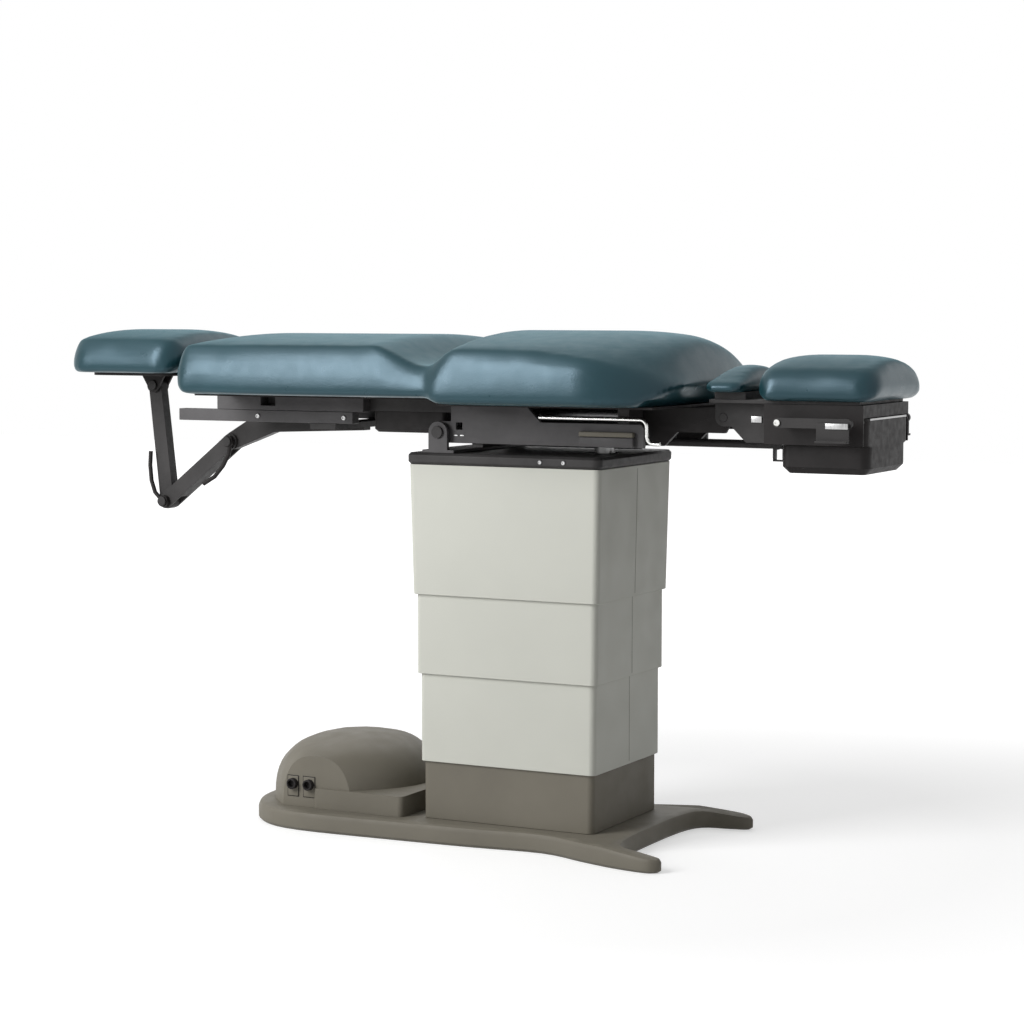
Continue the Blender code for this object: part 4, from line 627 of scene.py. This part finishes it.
def cushion(name, body, crown, end_shape):
    """The upholstered pad in the space of its CAD solid."""
    low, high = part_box(name)
    work = pad_core(low.x, high.x, lambda x: (high.y, low.z, high.z - crown, crown), end_shape, end_shape)
    piece = upholster(name + "_upholstery", work)
    close_in(piece, lambda x: low.z, low, high)
    dress(piece, body, "vinyl")
    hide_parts(name)


def bench_cushion():
    """Back and seat under one cover, with a crease where the back is hinged."""
    pin_low, pin_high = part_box("back_hinge_pin")
    hinge = (pin_low + pin_high) / 2
    back_low, back_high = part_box("back_pad")
    seat_low, seat_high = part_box("seat_pad")
    low = Vector(map(min, back_low, seat_low))
    high = Vector(map(max, back_high, seat_high))
    front = seat_high.x

    def form(x):
        share = ease((x - hinge.x) / BEND_HALF)
        half = back_high.y + (seat_high.y - back_high.y) * share
        fall = SEAT_FALL * max((x - front) / SEAT_FALL_RUN + 1, 0) ** 2
        top_fall = SEAT_TOP_FALL * max((x - front) / SEAT_TOP_RUN + 1, 0) ** 2
        rise = SEAT_RISE * max((x - front) / SEAT_RISE_RUN + 1, 0)
        bottom = back_low.z + (seat_low.z - back_low.z) * share + rise
        back_side = back_high.z - BACK_CROWN
        seat_side = seat_high.z - SEAT_CROWN - fall
        reach = CREASE_BACK_REACH if x < hinge.x else CREASE_SEAT_REACH
        dip = 1 - ease(abs(x - hinge.x) / reach)
        side = back_side if x < hinge.x else seat_side
        side += (hinge.z + CREASE_LIP - side) * dip
        crown = (BACK_CROWN if x < hinge.x else SEAT_CROWN + fall - top_fall) * (1 - dip)
        return half, bottom, side, crown

    work = pad_core(low.x, high.x, form, (BACK_CORNER, PAD_NOSE), (SEAT_CORNER, SEAT_NOSE))
    piece = upholster("bench_upholstery", work)
    close_in(piece, lambda x: back_low.z if x < hinge.x else seat_low.z, low, high)
    piece.data.materials.append(FINISHES["vinyl"])
    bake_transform(piece)
    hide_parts("back_pad", "seat_pad")


# Details on the frame

def wall_face(name, bottom):
    """Where a cover's wall stands at the foot end, below the lip at its top."""
    places = [nodes[name].matrix_world @ vertex.co for vertex in nodes[name].data.vertices]
    return max(place.x for place in places if place.z < bottom + WALL_REACH)


def column_details():
    """The seams of the covers' two halves and the small bolts on the top plate."""
    for name, body in (("upper_shroud", "carriage"), ("middle_shroud", "middle_stage"),
                       ("lower_shroud", "lower_stage")):
        low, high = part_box(name)
        bottom_x = wall_face(name, low.z)
        top_x = high.x if name == "upper_shroud" else bottom_x
        work = rounded_block((SEAM_T, SEAM_W, high.z - low.z - 2 * SEAM_END), SEAM_T / 4)
        lean = math.atan2(top_x - bottom_x, high.z - low.z)
        bmesh.ops.rotate(work, cent=(0, 0, 0), matrix=Matrix.Rotation(lean, 3, "Y"), verts=work.verts)
        middle = Vector(((bottom_x + top_x) / 2 + SEAM_T, SEAM_Y, (low.z + high.z) / 2))
        bmesh.ops.translate(work, vec=middle, verts=work.verts)
        dress(piece_from(name + "_seam", work), body, "cover_plastic", "base_paint")
    low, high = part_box("top_plate")
    for i, x in enumerate(BOLT_X):
        at = (x, low.y, (low.z + high.z) / 2)
        screw("flange_bolt_%d" % i, at, (0, -1, 0), BOLT_R, "carriage", "ram_steel")


def socket_details():
    """A raised panel, edged in painted shadow, round each socket on the pump cover, and a bezel on the
    socket.
    """
    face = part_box("power_inlet")[1].y
    bottom, top = SOCKET_Z
    for name, (left, right) in SOCKET_X.items():
        # A black sheet under the panel: its rim round the panel is painted shadow of the gap
        block(name + "_frame", (left, face - SOCKET_SHADOW_RIM_T, bottom), (right, face, top),
              "base", "black_plastic", edge=0.0002)
        block(name + "_panel", (left + SOCKET_RIM, face - SOCKET_PANEL_Y[0], bottom + SOCKET_RIM),
              (right - SOCKET_RIM, face - SOCKET_PANEL_Y[1], top - SOCKET_RIM),
              "base", "base_paint", edge=0.0005)
        low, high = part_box(name)
        middle = (low + high) / 2
        radius = (high.x - low.x) / 2
        work = turned([(radius * across, up) for across, up in BEZEL + BEZEL[:1]])
        bmesh.ops.remove_doubles(work, verts=work.verts, dist=WELD)
        place = Matrix.Translation(Vector((middle.x, low.y - PROUD, middle.z))) @ facing((0, -1, 0))
        bmesh.ops.transform(work, matrix=place, verts=work.verts)
        dress(piece_from(name + "_bezel", work), "base", "black_plastic")


def seat_details():
    """The line block with its cap on the side plate, and the two slots below the square hole."""
    low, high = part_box("seat_side_plate_near")
    face = low.y - PROUD
    left = high.x - LINE_BLOCK_X[0]
    right = high.x - LINE_BLOCK_X[1]
    for name, thick, (bottom, top), slot in (("line_block", LINE_BLOCK_T, LINE_BLOCK_Z, "grey_paint"),
                                             ("line_block_cap", LINE_CAP_T, LINE_CAP_Z, "base_paint")):
        block(name, (left, face - thick, low.z + bottom), (right, face, low.z + top), "seat", slot, LINE_EDGE)
    for i, x in enumerate(SLOT_X):
        block("adjuster_slot_%d" % i, (x - SLOT_HALF, face - SLOT_T, SLOT_Z[0]),
              (x + SLOT_HALF, face, SLOT_Z[1]), "seat", "ram_steel", edge=0.0004)


def headrest_details():
    """Two cap screws on each headrest rail."""
    for word, side in SIDES:
        low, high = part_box("headrest_rail_" + word)
        y = low.y if side < 0 else high.y
        for i, x in enumerate((low.x + RAIL_SCREW_HEAD, high.x - RAIL_SCREW_FOOT)):
            screw("rail_screw_%s_%d" % (word, i), (x, y, (low.z + high.z) / 2), (0, side, 0), RAIL_SCREW_R,
                  "headrest_slide", "ram_steel")


def foot_details():
    """Plated trim: latch plates, stud caps, the hinges of the heel plates and the pan's front strip."""
    frame_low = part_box("foot_frame")[0]
    pan_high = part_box("treatment_pan")[1]
    arm_y = FOOT_ARM_FACE + PROUD
    for word, side in SIDES:
        ends = sorted((side * arm_y, side * (arm_y + TRIM_T)))
        block("latch_plate_" + word, (frame_low.x + LATCH_X[0], ends[0], LATCH_Z[0]),
              (frame_low.x + LATCH_X[1], ends[1], LATCH_Z[1]), "foot", "ram_steel", TRIM_EDGE)
        low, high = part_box("stirrup_arm_" + word)
        outer = low.y if side < 0 else high.y
        at = (low.x + (high.z - low.z) / 2, outer + side * PROUD, (low.z + high.z) / 2)
        screw("stud_cap_" + word, at, (0, side, 0), STUD_R, "foot", "bright_steel")
        low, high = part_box("heel_plate_" + word)
        depth = (high.y - low.y) * HEEL_FACE
        outer = low.y + depth if side > 0 else high.y - depth
        ends = sorted((outer + side * PROUD, outer + side * (PROUD + TRIM_T)))
        block("heel_hinge_" + word, (high.x - HEEL_HINGE_X[0], ends[0], high.z - HEEL_HINGE_H),
              (high.x - HEEL_HINGE_X[1], ends[1], high.z), "heel_" + word, "ram_steel", TRIM_EDGE)
    block("pan_strip", (pan_high.x + STRIP_X[0], -STRIP_HALF, pan_high.z - STRIP_H),
          (pan_high.x + STRIP_X[1], STRIP_HALF, pan_high.z), "pan", "ram_steel", edge=0.0004)


# Stage

def seen_by_eye(tree_nodes, links):
    """1 for camera, mirror and glass rays, and 0 for the rest."""
    path = tree_nodes.new("ShaderNodeLightPath")
    total = path.outputs["Is Camera Ray"]
    for ray in ("Is Glossy Ray", "Is Transmission Ray"):
        total = combined(tree_nodes, links, "MAXIMUM", total, path.outputs[ray])
    return total


def make_floor():
    """A white floor that keeps the shadow."""
    mesh = bpy.data.meshes.new("floor")
    reach = FLOOR_HALF
    mesh.from_pydata([(-reach, -reach, 0), (reach, -reach, 0), (reach, reach, 0), (-reach, reach, 0)], [],
                     [(0, 1, 2, 3)])
    ground = bpy.data.objects.new("floor", mesh)
    scene.collection.objects.link(ground)
    ground.location.z = -FLOOR_DROP
    material, tree_nodes, links, shader = node_tree("floor")
    preset(shader, {"Base Color": (FLOOR_GREY, FLOOR_GREY, FLOOR_GREY, 1), "Roughness": FLOOR_ROUGH,
                    "Emission Color": (1, 1, 1, 1)})
    place = tree_nodes.new("ShaderNodeTexCoord")
    away = tree_nodes.new("ShaderNodeVectorMath")
    away.operation = "LENGTH"
    links.new(place.outputs["Object"], away.inputs[0])
    glow = mapped(tree_nodes, links, away.outputs["Value"], GLOW_REACH, GLOW_LEVEL)
    lit = combined(tree_nodes, links, "MULTIPLY", seen_by_eye(tree_nodes, links), glow)
    links.new(lit, shader.inputs["Emission Strength"])
    mesh.materials.append(material)


def make_world():
    """White to the eye, and a low even fill for everything else."""
    world = bpy.data.worlds.new("studio")
    world.use_nodes = True
    scene.world = world
    tree_nodes = world.node_tree.nodes
    links = world.node_tree.links
    background = tree_nodes["Background"]
    background.inputs["Color"].default_value = (1, 1, 1, 1)
    strength = mapped(tree_nodes, links, seen_by_eye(tree_nodes, links), (0.0, 1.0), (FILL_LEVEL, 1.0))
    links.new(strength, background.inputs["Strength"])


def lamp(name, at, target, size, watts):
    """A soft light of a width and a height."""
    data = bpy.data.lights.new(name, "AREA")
    data.shape = "RECTANGLE"
    data.size, data.size_y = size
    data.energy = watts
    light = bpy.data.objects.new(name, data)
    light.location = at
    light.rotation_euler = (Vector(target) - Vector(at)).to_track_quat("-Z", "Y").to_euler()
    scene.collection.objects.link(light)


def make_camera():
    """The photograph's camera."""
    camera = bpy.data.cameras.new("camera")
    camera.lens = CAMERA_LENS
    camera.sensor_width = SENSOR
    eye = bpy.data.objects.new("camera", camera)
    eye.location = CAMERA_AT
    eye.rotation_euler = (math.radians(CAMERA_TILT), 0, math.radians(CAMERA_TURN))
    scene.collection.objects.link(eye)
    scene.camera = eye
    scene.view_settings.view_transform = "Standard"


finish_nodes()
bench_cushion()
cushion("headrest_pad", "headrest", REST_CROWN, (REST_CORNER, PAD_NOSE))
cushion("calf_pad", "foot", CALF_CROWN, (CALF_CORNER, CALF_CORNER))
cushion("foot_pad", "foot", FOOT_CROWN, (FOOT_CORNER, PAD_NOSE))
column_details()
socket_details()
seat_details()
headrest_details()
foot_details()
make_floor()
make_world()
lamp("back_light", at=(-1.0, 2.2, 2.8), target=(0.0, 0.0, 0.8), size=(2.6, 2.6), watts=28)
lamp("front_light", at=(-1.75, -2.75, 2.4), target=(0, -0.2, 0.8), size=(1.5, 2.5), watts=130)
make_camera()
